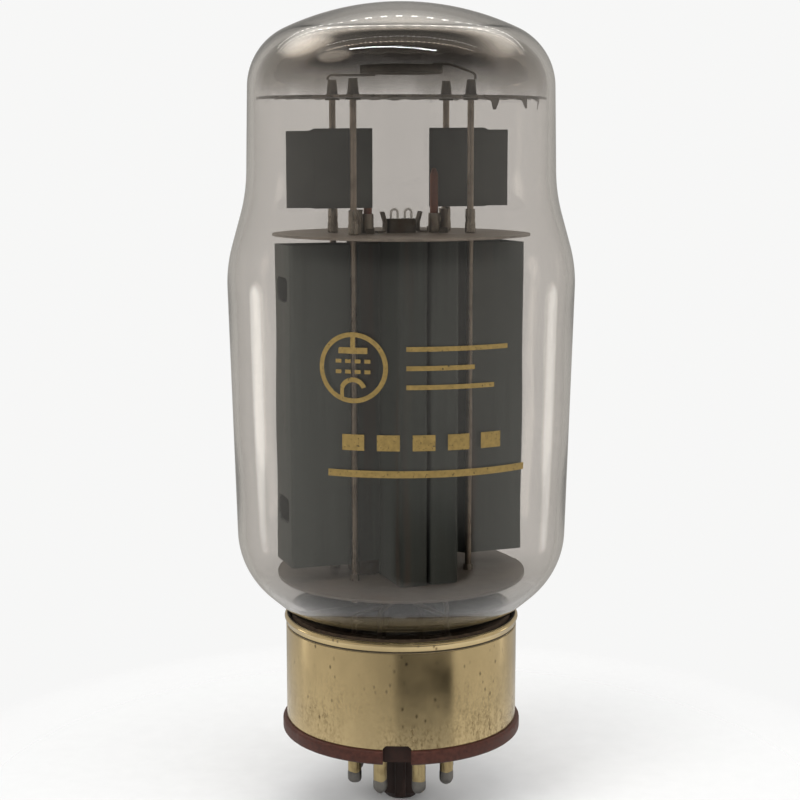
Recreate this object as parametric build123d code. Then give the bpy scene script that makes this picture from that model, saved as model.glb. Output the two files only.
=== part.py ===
from build123d import *
import math
import os

# A large glass beam power tube on an eight-pin keyed base with a brass shell.
# Millimetres. The origin is on the tube's axis at the seating plane, the flat underside of the
# base disc. The bulb points to +Z, the pins to -Z, and the key on the spigot faces -Y.
# The electrodes are described in the cage's own X and Y, then turned about Z by cage_turn.

# ---- base ----
disc_lip = 0.7                  # how far the disc stands out past the shell
disc_thickness = 2.4
disc_edge_round = 0.5
disc_step_height = 1.6          # the raised middle of the disc, up inside the shell
disc_step_gap = 0.1
notch_width = 4.7               # the index notch in the disc's rim, over the key
notch_depth = 1.9
shell_radius = 20.1
shell_wall = 0.5
shell_height = 18.5
shell_bead_radius = 0.55        # the rolled top edge
shell_groove_radius = 0.22
shell_groove_drop = 1.75        # from the shell's top edge down to the groove
shell_notch_height = 0.8
shell_notch_chamfer = 0.5
spigot_radius = 4.0
spigot_length = 12.8
spigot_wall = 1.3
spigot_tip_chamfer = 1.4
key_width = 1.9
key_height = 1.35
key_clear_of_tip = 1.2

# ---- pins ----
pin_count = 8
pin_circle = 17.45              # the standard pin circle diameter
pin_radius = 1.18
pin_bore_radius = 0.75
pin_length = 9.8
pin_shank_radius = 1.4
pin_flange_radius = 1.9
pin_flange_height = 0.35
pin_fit = 0.03                  # clearance of a shank in the disc
solder_height = 0.55
solder_cover = 0.35             # how far the solder climbs the outside of a pin
solder_film = 0.06
solder_fill = 6.6               # how far the solder is drawn up inside a pin, past its middle

# ---- glass ----
bulb_top = 125.0
bulb_wall = 1.2
crown_radius = 46.0
crown_corner_round = 10.7
dome_radius = 25.6
dome_foot_radius = 26.1
dome_foot_height = 93.5
belly_radius = 29.65
belly_top_height = 81.3
belly_foot_radius = 28.1
belly_foot_height = 29.3
dome_foot_round = 29.0
belly_top_round = 24.0
belly_foot_round = 14.0
neck_gap = 1.1                  # from the neck to the bore of the shell
neck_round = 2.0
neck_bottom_height = 12.0
stem_thickness = 2.6
stem_height = 14.2              # the underside of the glass stem disc
stem_bead_radius = 1.3          # the glass drawn up round each lead
stem_bead_height = 1.5
stem_pump_hole_radius = 1.0
exhaust_radius = 1.9
exhaust_wall = 0.9
exhaust_bottom = -6.0           # the sealed tip, inside the spigot
cement_bottom = 12.6
cement_below_bead = 0.9

# ---- cage of electrodes ----
cage_turn = 23.0                # about Z, from the key
mica_thickness = 0.4
mica_hole_gap = 0.05
bottom_mica_height = 28.2
bottom_mica_radius = 21.5
top_mica_height = 86.6
top_mica_radius = 21.8
dome_mica_height = 109.0
dome_mica_gap = 0.3             # from the tips of its teeth to the glass
dome_mica_teeth = 40
dome_mica_tooth_depth = 1.3
rod_radius = 0.55
rod_x = 10.4
rod_anode_gap = 0.05            # from the rods to the wings of the anode
rod_bottom = 24.6
rod_top = 111.9

# ---- eyelets and sleeves on the rods ----
eyelet_height = 2.9
eyelet_base_wall = 0.38
eyelet_top_wall = 0.13
eyelet_flange_width = 0.53
eyelet_flange_height = 0.3
washer_width = 0.68
washer_height = 0.3
sleeve_wall = 0.33
sleeve_height = 4.0
collar_wall = 0.28
collar_height = 1.1
rod_fit = 0.02                  # clearance of a rod in its eyelet, washer, sleeve or collar

# ---- anode, two folded sheets that meet at the middle of the ridges ----
anode_sheet = 0.35
anode_bottom = 31.4
anode_top = 85.3
anode_half_length = 20.9
anode_wing_y = 4.55
anode_floor_y = 3.5
anode_step_x = 9.4
anode_step_run = 0.7
ridge_half_width = 5.05
ridge_y = 12.9
ridge_seam = 0.5                # the open slit between the two sheets
ridge_lip = 1.6
ridge_mica_gap = 0.15
anode_bend = 0.5
window_width = 6.0
window_height = 4.2
window_round = 1.2
window_low = 40.6               # centre heights of the windows in the end faces
window_high = 77.7

# ---- beam plates ----
beam_sheet = 0.25
beam_rod_gap = 0.26             # from the screen grid's turns to the plate
beam_mouth_x = 4.4
beam_y = 2.85
beam_bend = 0.4
beam_mica_gap = 0.2
beam_tab_width = 1.4
beam_tab_rise = 0.9
beam_tab_gap = 0.06

# ---- cathode and heater ----
cathode_half_length = 2.6
cathode_half_thickness = 0.8
cathode_wall = 0.12
cathode_bottom = 26.6
cathode_top = 89.3
clip_width = 1.6
clip_thickness = 0.35
clip_height = 3.4
clip_lean = 0.5
clip_gap = 0.3                  # from the cathode's end to the clip
heater_wire_radius = 0.2
heater_leg_spread = 0.6         # half the distance between the legs of one hairpin
heater_pin_x = 1.25             # centre of each hairpin
heater_top = 90.9
heater_bottom = 24.4
heater_link_height = 25.6

# ---- grids ----
control_rod_radius = 0.7
control_rod_clip_gap = 0.48     # from the foot of a cathode clip to a rod's collar
control_rod_bottom = 26.4
control_rod_top = 97.6
control_rod_tip = 1.2
control_wire_radius = 0.05
control_winding_y = 1.25
screen_rod_radius = 0.45
screen_rod_gap = 0.05           # from a control rod's collar to a screen rod's sleeve
screen_rod_bottom = 25.4
screen_rod_top = 90.2
screen_wire_radius = 0.06
screen_winding_y = 2.2
winding_bottom = 31.6
winding_top = 84.4
winding_pitch = 1.6
control_collar_wall = 0.3
control_collar_height = 3.2
screen_sleeve_wall = 0.3
screen_sleeve_height = 3.9
screen_sleeve_ear = 0.9
grid_fit = 0.02

# ---- cooling fins on the control grid rods ----
fin_sheet = 0.3
fin_overlap = 0.5               # how far a fin passes its rod's centre
fin_crease_length = 10.1
fin_length = 14.9
fin_crease_run = 0.45           # how far the outer edge is bent out of the fin's plane
fin_bottom = 91.2
fin_top = 104.0

# ---- getter ----
getter_radius = 6.3
getter_width = 1.3
getter_height = 1.5
getter_wall = 0.2
getter_bottom = 113.4
getter_wire_radius = 0.22
getter_wire_gap = 0.02
getter_wire_bend = 0.9
getter_left_end = (-3.9, 1.9)
getter_right_end_radius = 5.2

# ---- leads ----
lead_radius = 0.42
lead_bottom = -9.5
lead_bend = 0.7
lead_top = 26.2
lead_turn_low = 20.0
lead_turn_mid = 22.4
lead_shell_turn = 7.0
lead_joint_gap = 0.03

# ---- derived from the sizes above ----
shell_bottom = disc_thickness
shell_top = shell_bottom + shell_height
shell_bore = shell_radius - shell_wall
disc_radius = shell_radius + disc_lip
disc_step_top = disc_thickness + disc_step_height
neck_radius = shell_bore - neck_gap
neck_top_height = shell_top
stem_top = stem_height + stem_thickness
bottom_mica_top = bottom_mica_height + mica_thickness
top_mica_top = top_mica_height + mica_thickness
dome_mica_top = dome_mica_height + mica_thickness
rod_y = anode_wing_y + anode_sheet / 2 + rod_anode_gap + rod_radius
rod_bore = rod_radius + rod_fit
rod_places = [(x, y) for x in (-rod_x, rod_x) for y in (-rod_y, rod_y)]
control_collar_bore = control_rod_radius + grid_fit
control_collar_radius = control_collar_bore + control_collar_wall
screen_sleeve_bore = screen_rod_radius + grid_fit
screen_sleeve_radius = screen_sleeve_bore + screen_sleeve_wall
clip_end_x = cathode_half_length + clip_gap + clip_width
control_rod_x = clip_end_x + control_rod_clip_gap + control_collar_radius
screen_rod_x = control_rod_x + control_collar_radius + screen_rod_gap + screen_sleeve_radius
screen_winding_x = screen_rod_x + screen_rod_radius + 2 * screen_wire_radius
beam_x = screen_winding_x + beam_rod_gap + beam_sheet / 2
fin_inner_x = control_rod_x - fin_overlap

standing = (Align.CENTER, Align.CENTER, Align.MIN)


def pin_place(number):
    """Centre of a pin in X and Y. Pins are numbered clockwise from the key, seen from below."""
    angle = math.radians(-90 + (number - 0.5) * 360 / pin_count)
    return pin_circle / 2 * math.cos(angle), pin_circle / 2 * math.sin(angle)


def cage_place(x, y):
    """A place in the cage's own X and Y, given in the tube's X and Y."""
    turn = math.radians(cage_turn)
    return x * math.cos(turn) - y * math.sin(turn), x * math.sin(turn) + y * math.cos(turn)


def turned(shape):
    """A piece drawn in the cage's own X and Y, turned to its place in the tube."""
    return Rot(0, 0, cage_turn) * shape


def upright(x, y, low, high, radius):
    """A round bar from one height to another."""
    return Pos(x, y, low) * Cylinder(radius, high - low, align=standing)


def pipe(x, y, low, high, outside, inside):
    """A round tube from one height to another."""
    return upright(x, y, low, high, outside) - upright(x, y, low, high, inside)


def bent_wire(points, radius, bend):
    """A round wire along straight runs with rounded bends."""
    path = FilletPolyline(*points, radius=bend)
    return sweep((path ^ 0) * Circle(radius), path=path)


def folded_sheet(points, thickness, bend, low, high):
    """A sheet standing on edge, folded along its plan, from one height to another."""
    plan = trace(FilletPolyline(*points, radius=bend), line_width=thickness)
    return extrude(Pos(0, 0, low) * plan, amount=high - low)


def obround(half_length, half_width):
    """A flat-sided oval drawn about the origin, its long side along X."""
    return SlotOverall(2 * half_length, 2 * half_width)


def turned_profile(face):
    """A section in radius and height, turned about the tube's axis."""
    return revolve(Plane.XZ * face, axis=Axis.Z)


# ---- glass envelope ----


def crown_corner_height(inset):
    """Height at which the crown's sphere meets the side of the dome."""
    crown = crown_radius - inset
    return bulb_top - inset - crown + math.sqrt(crown**2 - (dome_radius - inset) ** 2)


def dome_side_radius(height):
    """Outside radius of the dome's straight side at a height."""
    share = (height - dome_foot_height) / (crown_corner_height(0) - dome_foot_height)
    return dome_foot_radius + share * (dome_radius - dome_foot_radius)


def bulb_section(inset, bottom):
    """Half section of the bulb, set in from the outside of the glass by inset."""
    radius = dome_radius - inset
    top = bulb_top - inset
    crown = crown_radius - inset
    corner_height = crown_corner_height(inset)
    slope = math.atan2(neck_top_height - belly_foot_height, neck_radius - belly_foot_radius)
    drop = inset * math.tan((slope % math.pi) / 2)
    outline = [
        (radius, corner_height),
        (dome_foot_radius - inset, dome_foot_height),
        (belly_radius - inset, belly_top_height),
        (belly_foot_radius - inset, belly_foot_height + drop),
        (neck_radius - inset, neck_top_height + drop),
        (neck_radius - inset, bottom),
        (0, bottom),
        (0, top),
    ]
    face = make_face(RadiusArc(outline[-1], outline[0], crown) + Polyline(*outline))
    rounds = [
        crown_corner_round - inset,
        dome_foot_round + inset,
        belly_top_round - inset,
        belly_foot_round - inset,
        neck_round + inset,
    ]
    for corner, size in zip(outline, rounds):
        face = fillet(face.vertices().sort_by_distance((*corner, 0))[0], radius=size)
    return face


def bulb_body(inset, bottom):
    """The bulb as a full body, set in from the outside of the glass by inset."""
    return turned_profile(bulb_section(inset, bottom))


def glass_bulb():
    """The blown bulb, open at the bottom of its neck where the stem closes it."""
    return bulb_body(0, neck_bottom_height) - bulb_body(bulb_wall, neck_bottom_height)


def glass_stem():
    """The pressed glass disc that closes the neck, with a bead of glass round each lead."""
    stem = upright(0, 0, stem_height, stem_top, neck_radius - bulb_wall)
    for number in lead_pins:
        x, y = pin_place(number)
        bead = Cone(stem_bead_radius, lead_radius + 0.1, stem_bead_height, align=standing)
        stem += Pos(x, y, stem_top) * bead
    for number in lead_pins:
        x, y = pin_place(number)
        stem -= upright(x, y, neck_bottom_height, neck_top_height, lead_radius)
    return stem - upright(0, 0, neck_bottom_height, neck_top_height, stem_pump_hole_radius)


def exhaust_tube():
    """The pumping tube under the stem, sealed at its tip inside the spigot."""
    tube = upright(0, 0, exhaust_bottom, stem_height, exhaust_radius)
    tip = Pos(0, 0, exhaust_bottom) * Sphere(exhaust_radius)
    inside = upright(0, 0, exhaust_bottom, stem_height, exhaust_radius - exhaust_wall)
    return tube + tip - inside


# ---- base ----


def notch_cutter(width, height, chamfer_size, low):
    """A slot through the rim at the key, with its two upper corners cut off."""
    half = width / 2
    outline = Polyline(
        (-half, low),
        (half, low),
        (half, low + height - chamfer_size),
        (half - chamfer_size, low + height),
        (-half + chamfer_size, low + height),
        (-half, low + height - chamfer_size),
        close=True,
    )
    slot = extrude(Plane.XZ * make_face(outline), amount=disc_radius + notch_depth)
    return slot - upright(0, 0, low - 1, low + height + 1, disc_radius - notch_depth)


def base_wafer():
    """The moulded disc with its hollow keyed spigot, one piece."""
    disc = upright(0, 0, 0, disc_thickness, disc_radius)
    disc = fillet(disc.edges().filter_by(GeomType.CIRCLE), radius=disc_edge_round)
    step = upright(0, 0, 0, disc_step_top, shell_bore - disc_step_gap)
    spigot = upright(0, 0, -spigot_length, disc_thickness, spigot_radius)
    spigot = chamfer(spigot.faces().sort_by(Axis.Z)[0].edges(), length=spigot_tip_chamfer)
    key_size = (key_width, spigot_radius + key_height, spigot_length - key_clear_of_tip)
    key = Box(*key_size, align=(Align.CENTER, Align.MAX, Align.MAX))
    key = fillet(key.edges().filter_by(Axis.Z).group_by(Axis.Y)[0], radius=key_width / 4)
    wafer = disc + step + spigot + key
    hollow_floor = spigot_tip_chamfer - spigot_length
    wafer -= upright(0, 0, hollow_floor, disc_step_top, spigot_radius - spigot_wall)
    for number in range(1, pin_count + 1):
        x, y = pin_place(number)
        wafer -= upright(x, y, 0, disc_step_top, pin_shank_radius + pin_fit)
    notch_top = disc_step_top + 2
    return wafer - notch_cutter(notch_width, notch_top, 0.1, -0.5)


def base_shell():
    """The brass shell with a rolled top edge, a groove below it and the index notch."""
    middle = shell_radius - shell_wall / 2
    wall = Pos(middle, shell_bottom + shell_height / 2) * Rectangle(shell_wall, shell_height)
    bead_place = (shell_radius - shell_bead_radius / 2, shell_top - shell_bead_radius)
    bead = Pos(*bead_place) * Circle(shell_bead_radius)
    groove = Pos(shell_radius, shell_top - shell_groove_drop) * Circle(shell_groove_radius)
    shell = turned_profile(wall + bead - groove)
    notch = notch_cutter(notch_width, 1 + shell_notch_height, shell_notch_chamfer, shell_bottom - 1)
    return shell - notch


def base_cement():
    """The ring of cement that holds the neck of the bulb in the shell."""
    low, high = cement_bottom, shell_top - cement_below_bead
    bead_inside = shell_radius - 1.5 * shell_bead_radius
    ring = upright(0, 0, low, high, shell_bore)
    ring -= bulb_body(0, neck_bottom_height)
    return ring - (upright(0, 0, shell_top - 2 * shell_bead_radius, high, shell_radius)
                   - upright(0, 0, low, high, bead_inside))


def base_pin(number):
    """One hollow brass pin, its shank held in the disc under a flange."""
    x, y = pin_place(number)
    pin = upright(x, y, pin_radius - pin_length, 0, pin_radius)
    pin += Pos(x, y, pin_radius - pin_length) * Sphere(pin_radius)
    pin += upright(x, y, 0, disc_step_top, pin_shank_radius)
    pin += upright(x, y, disc_step_top, disc_step_top + pin_flange_height, pin_flange_radius)
    high = disc_step_top + pin_flange_height
    return pin - upright(x, y, -pin_length, high, pin_bore_radius)


def pin_solder():
    """The solder in every pin: a cap over its tip and a plug drawn up its bore."""
    caps = []
    tip = -pin_length
    for number in range(1, pin_count + 1):
        x, y = pin_place(number)
        cap = Pos(x, y, pin_radius - pin_length) * Sphere(pin_radius + solder_film)
        cap &= upright(x, y, tip - solder_height, tip + solder_cover, pin_radius)
        cap += upright(x, y, tip + solder_cover / 2, tip + solder_fill, pin_bore_radius)
        cap -= base_pin(number)
        if number in lead_pins or number == shell_pin:
            cap -= upright(x, y, lead_bottom, 0, lead_radius)
        caps.append(cap.solids().sort_by(Axis.Z)[0])
    return Compound(children=caps)


# ---- leads ----

shell_pin = 1
lead_pins = [2, 3, 4, 5, 7, 8]


def lead_to(number, turn_height, target, top):
    """A lead from inside a pin, up through the stem and over to a place under the cage."""
    x, y = pin_place(number)
    points = [(x, y, lead_bottom), (x, y, turn_height), (*target, turn_height + 1.6), (*target, top)]
    return bent_wire(points, lead_radius, lead_bend)


def beside(x, y, radius, away):
    """The place where a lead stands against a bar, on the side the angle in degrees points to."""
    bar_x, bar_y = cage_place(x, y)
    reach = radius + lead_radius + lead_joint_gap
    angle = math.radians(away)
    return bar_x + reach * math.cos(angle), bar_y + reach * math.sin(angle)


def lead_shell():
    """The wire that joins the first pin to the metal shell, inside the base."""
    x, y = pin_place(shell_pin)
    share = (shell_bore - lead_radius - lead_joint_gap) / (pin_circle / 2)
    edge = (x * share, y * share)
    points = [
        (x, y, lead_bottom),
        (x, y, lead_shell_turn),
        (*edge, lead_shell_turn + 1),
        (*edge, cement_bottom - 1),
    ]
    return bent_wire(points, lead_radius, lead_bend)


def lead_heater_right():
    """The lead to the right leg of the heater."""
    place = beside(heater_pin_x + heater_leg_spread, 0, heater_wire_radius, cage_turn)
    return lead_to(2, lead_turn_low, place, lead_top - 0.4)


def lead_anode():
    """The lead to the rear right support rod, which carries the anode."""
    return lead_to(3, lead_turn_low, beside(rod_x, rod_y, rod_radius, -100), lead_top)


def lead_screen_grid():
    """The lead to the right rod of the screen grid."""
    return lead_to(4, lead_turn_mid, beside(screen_rod_x, 0, screen_rod_radius, 100), lead_top + 1)


def lead_control_grid():
    """The lead to the left rod of the control grid."""
    place = beside(-control_rod_x, 0, control_rod_radius, 80)
    return lead_to(5, lead_turn_mid, place, lead_top + 1)


def lead_heater_left():
    """The lead to the left leg of the heater."""
    away = 180 + cage_turn
    place = beside(-heater_pin_x - heater_leg_spread, 0, heater_wire_radius, away)
    return lead_to(7, lead_turn_low, place, lead_top - 0.4)


def lead_cathode():
    """The lead to the cathode sleeve."""
    place = beside(0, 0, cathode_half_thickness, -90 + cage_turn)
    return lead_to(8, lead_turn_mid, place, lead_top + 1.4)


# ---- micas ----


def rod_holes(low):
    """The four holes for the support rods."""
    radius = rod_radius + mica_hole_gap
    return [upright(x, y, low - 1, low + 1, radius) for x, y in rod_places]


def electrode_holes(low):
    """The holes for the cathode, the grid rods and the tabs of the beam plates."""
    around = cathode_half_length + mica_hole_gap
    across = cathode_half_thickness + mica_hole_gap
    holes = [extrude(Pos(0, 0, low - 1) * obround(around, across), amount=2)]
    for side in (-1, 1):
        holes.append(upright(side * control_rod_x, 0, low - 1, low + 1,
                             control_rod_radius + mica_hole_gap))
        holes.append(upright(side * screen_rod_x, 0, low - 1, low + 1,
                             screen_rod_radius + mica_hole_gap))
        for edge in (-1, 1):
            place = Pos(side * beam_tab_x, edge * beam_y, low)
            slot = Box(beam_tab_width + 2 * beam_tab_gap, beam_sheet + 2 * beam_tab_gap, 2)
            holes.append(place * slot)
    return holes


def cage_mica(low, radius):
    """One of the two insulating discs that hold the electrodes in place."""
    disc = upright(0, 0, low, low + mica_thickness, radius)
    return turned(disc - rod_holes(low) - electrode_holes(low))


def bottom_mica():
    """The disc under the anode."""
    return cage_mica(bottom_mica_height, bottom_mica_radius)


def top_mica():
    """The disc over the anode."""
    return cage_mica(top_mica_height, top_mica_radius)


def dome_mica():
    """The toothed disc that centres the top of the cage in the dome of the bulb."""
    glass = min(dome_side_radius(dome_mica_height), dome_side_radius(dome_mica_top))
    radius = glass - bulb_wall - dome_mica_gap
    disc = upright(0, 0, dome_mica_height, dome_mica_top, radius)
    half_step = math.radians(180 / dome_mica_teeth)
    root = radius - dome_mica_tooth_depth
    mouth = (radius + 1) * math.tan(half_step) * 0.86
    gap = Polyline((root, 0), (radius + 1, mouth), (radius + 1, -mouth), close=True)
    cutter = extrude(Pos(0, 0, dome_mica_height) * make_face(gap), amount=mica_thickness)
    cutters = [Rot(0, 0, step * 360 / dome_mica_teeth) * cutter for step in range(dome_mica_teeth)]
    return turned(disc - cutters - rod_holes(dome_mica_height))


# ---- support rods and their fittings ----


def support_rod(x, y):
    """One steel rod through all three micas."""
    return turned(upright(x, y, rod_bottom, rod_top, rod_radius))


def rod_eyelets_dome():
    """The tapered eyelets that grip the rods on top of the dome mica."""
    eyelets = []
    for x, y in rod_places:
        foot = rod_bore + eyelet_base_wall
        eyelet = Cone(foot, rod_bore + eyelet_top_wall, eyelet_height, align=standing)
        flange = Cylinder(rod_bore + eyelet_flange_width, eyelet_flange_height, align=standing)
        bore = upright(x, y, dome_mica_top, dome_mica_top + eyelet_height, rod_bore)
        eyelets.append(turned(Pos(x, y, dome_mica_top) * (eyelet + flange) - bore))
    return Compound(children=eyelets)


def rod_pipes(low, height, wall):
    """The same short tube on each of the four rods."""
    return Compound(children=[
        turned(pipe(x, y, low, low + height, rod_bore + wall, rod_bore)) for x, y in rod_places
    ])


def rod_washers_dome():
    """The washers under the dome mica."""
    return rod_pipes(dome_mica_height - washer_height, washer_height, washer_width)


def rod_sleeves_top():
    """The sleeves that stop the rods on the top mica."""
    return rod_pipes(top_mica_top, sleeve_height, sleeve_wall)


def rod_collars_bottom():
    """The collars that stop the rods on the bottom mica."""
    return rod_pipes(bottom_mica_top, collar_height, collar_wall)


# ---- anode ----


def anode_half(side):
    """One folded anode sheet: a wing, its end face, and half of the front and rear ridges."""
    lip_x = (ridge_seam + anode_sheet) / 2
    front = [
        (lip_x, -ridge_y + ridge_lip),
        (lip_x, -ridge_y),
        (ridge_half_width, -ridge_y),
        (ridge_half_width, -anode_floor_y),
        (anode_step_x, -anode_floor_y),
        (anode_step_x + anode_step_run, -anode_wing_y),
        (anode_half_length, -anode_wing_y),
    ]
    rear = [(x, -y) for x, y in reversed(front)]
    plan = [(side * x, y) for x, y in front + rear]
    low = bottom_mica_top + ridge_mica_gap
    high = top_mica_height - ridge_mica_gap
    sheet = folded_sheet(plan, anode_sheet, anode_bend, low, high)
    middle = side * (ridge_half_width + anode_sheet)
    outward = (Align.MIN if side > 0 else Align.MAX, Align.CENTER, Align.MIN)
    wide = 2 * (anode_wing_y + anode_sheet)
    below = Pos(middle, 0, low) * Box(anode_half_length, wide, anode_bottom - low, align=outward)
    above = Pos(middle, 0, anode_top) * Box(anode_half_length, wide, high - anode_top, align=outward)
    sheet = sheet - below - above
    for height in (window_low, window_high):
        window = RectangleRounded(window_width, window_height, window_round)
        place = Plane((side * anode_half_length, 0, height), x_dir=(0, 1, 0), z_dir=(side, 0, 0))
        sheet -= extrude(place * window, amount=anode_sheet, both=True)
    return turned(sheet)


# ---- beam plates ----

beam_tab_x = (beam_mouth_x + beam_x) / 2


def beam_plate(side):
    """One channel round an end of the screen grid, with tabs up and down through the micas."""
    plan = [
        (side * beam_mouth_x, -beam_y),
        (side * beam_x, -beam_y),
        (side * beam_x, beam_y),
        (side * beam_mouth_x, beam_y),
    ]
    low = bottom_mica_top + beam_mica_gap
    high = top_mica_height - beam_mica_gap
    plate = folded_sheet(plan, beam_sheet, beam_bend, low, high)
    tab_low = bottom_mica_height - beam_tab_rise
    tab_high = top_mica_top + beam_tab_rise
    for edge in (-1, 1):
        place = Pos(side * beam_tab_x, edge * beam_y, 0)
        plate += place * Pos(0, 0, tab_low) * Box(
            beam_tab_width, beam_sheet, low - tab_low + 0.5, align=standing)
        plate += place * Pos(0, 0, high - 0.5) * Box(
            beam_tab_width, beam_sheet, tab_high - high + 0.5, align=standing)
    return turned(plate)


# ---- cathode and heater ----


def cathode_sleeve():
    """The flat-sided nickel sleeve that holds the heater."""
    outside = obround(cathode_half_length, cathode_half_thickness)
    inside = obround(cathode_half_length - cathode_wall, cathode_half_thickness - cathode_wall)
    wall = Pos(0, 0, cathode_bottom) * (outside - inside)
    return turned(extrude(wall, amount=cathode_top - cathode_bottom))


def cathode_clips():
    """The two bent strips on the top mica that hold the ends of the cathode."""
    clips = []
    for side in (-1, 1):
        foot = side * (cathode_half_length + clip_gap)
        lean = foot + side * clip_lean
        outline = [
            (foot + side * clip_width, 0),
            (foot, 0),
            (foot, clip_height / 2),
            (lean, clip_height),
        ]
        strip = trace(Polyline(*outline), line_width=clip_thickness)
        clip = extrude(Plane.XZ * strip, amount=clip_width / 2, both=True)
        clips.append(turned(Pos(0, 0, top_mica_top + clip_thickness / 2) * clip))
    return Compound(children=clips)


def heater():
    """The heater wire: two hairpins joined in series inside the cathode."""
    loop = heater_leg_spread
    spine = []
    for start, first, last in (
        (-heater_pin_x, heater_bottom, heater_link_height),
        (heater_pin_x, heater_link_height, heater_bottom),
    ):
        spine.append((start - loop, 0, first))
        spine.append((start - loop, 0, heater_top))
        spine.append((start + loop, 0, heater_top))
        spine.append((start + loop, 0, last))
    return turned(bent_wire(spine, heater_wire_radius, loop * 0.98))


# ---- grids ----


def control_grid_rod(side):
    """One copper rod of the control grid, with a tapered top end."""
    x = side * control_rod_x
    shoulder = control_rod_top - control_rod_tip
    bar = upright(x, 0, control_rod_bottom, shoulder, control_rod_radius)
    tip = Cone(control_rod_radius, control_rod_radius / 3, control_rod_tip, align=standing)
    return turned(bar + Pos(x, 0, shoulder) * tip)


def screen_grid_rod(side):
    """One rod of the screen grid."""
    x = side * screen_rod_x
    return turned(upright(x, 0, screen_rod_bottom, screen_rod_top, screen_rod_radius))


def winding(rod_place, rod_size, wire_size, half_width):
    """The turns of a grid, level loops of fine wire round its two rods."""
    reach = rod_place + rod_size + wire_size
    path = obround(reach, half_width).wire()
    ring = sweep((path ^ 0) * Circle(wire_size), path=path)
    count = int((winding_top - winding_bottom) / winding_pitch) + 1
    return Compound(children=[
        turned(Pos(0, 0, winding_bottom + step * winding_pitch) * ring) for step in range(count)
    ])


def control_grid_winding():
    """The turns of the control grid."""
    return winding(control_rod_x, control_rod_radius, control_wire_radius, control_winding_y)


def screen_grid_winding():
    """The turns of the screen grid."""
    return winding(screen_rod_x, screen_rod_radius, screen_wire_radius, screen_winding_y)


def control_rod_collars():
    """The collars that stop the control grid rods on the top mica."""
    sizes = (control_collar_radius, control_collar_bore)
    high = top_mica_top + control_collar_height
    return Compound(children=[
        turned(pipe(side * control_rod_x, 0, top_mica_top, high, *sizes)) for side in (-1, 1)
    ])


def screen_rod_sleeves():
    """The crimped sleeves on the screen grid rods, each with two pinched ears."""
    inside = screen_sleeve_bore
    outside = screen_sleeve_radius
    high = top_mica_top + screen_sleeve_height
    sleeves = []
    for side in (-1, 1):
        x = side * screen_rod_x
        body = upright(x, 0, top_mica_top, high, outside)
        ear_size = (screen_sleeve_wall, 2 * (outside + screen_sleeve_ear), screen_sleeve_height)
        ears = Pos(x, 0, top_mica_top) * Box(*ear_size, align=standing)
        sleeves.append(turned(body + ears - upright(x, 0, top_mica_top, high, inside)))
    return Compound(children=sleeves)


def grid_fin(side):
    """One cooling fin, a blackened plate standing against a control grid rod."""
    y = control_rod_radius + grid_fit + fin_sheet / 2
    plan = [
        (fin_inner_x, y),
        (fin_inner_x + fin_crease_length, y),
        (fin_inner_x + fin_length, y + fin_crease_run),
    ]
    plate = trace(Polyline(*plan), line_width=fin_sheet)
    fin = extrude(Pos(0, 0, fin_bottom) * plate, amount=fin_top - fin_bottom)
    return turned(Rot(0, 0, 0 if side > 0 else 180) * fin)


# ---- getter ----


def getter_ring():
    """The round channel that held the getter metal, open towards the dome."""
    channel = Rectangle(getter_width, getter_height)
    groove = Pos(0, getter_wall) * Rectangle(getter_width - 2 * getter_wall, getter_height)
    section = Pos(getter_radius, getter_bottom + getter_height / 2) * (channel - groove)
    return turned_profile(section)


def getter_support_left():
    """The wire from the rear left rod to the underside of the getter ring."""
    reach = rod_radius + getter_wire_radius + getter_wire_gap
    x, y = -rod_x - reach, rod_y
    low = dome_mica_top + eyelet_height + getter_wire_gap
    high = getter_bottom - getter_wire_radius - getter_wire_gap
    points = [(x, y, low), (x, y, high), (*getter_left_end, high)]
    return turned(bent_wire(points, getter_wire_radius, getter_wire_bend * 0.8))


def getter_support_right():
    """The wire from the front right rod to the top of the getter ring."""
    reach = rod_radius + getter_wire_radius + getter_wire_gap
    x, y = rod_x + reach, -rod_y
    low = dome_mica_top + eyelet_height + getter_wire_gap
    high = getter_bottom + getter_height + getter_wire_radius + getter_wire_gap
    share = getter_right_end_radius / math.hypot(x, y)
    knee = 1.55 * share
    points = [
        (x, y, low),
        (x, y, getter_bottom),
        (x * knee, y * knee, high),
        (x * share, y * share, high),
    ]
    return turned(bent_wire(points, getter_wire_radius, getter_wire_bend))


# ---- all pieces ----


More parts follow.
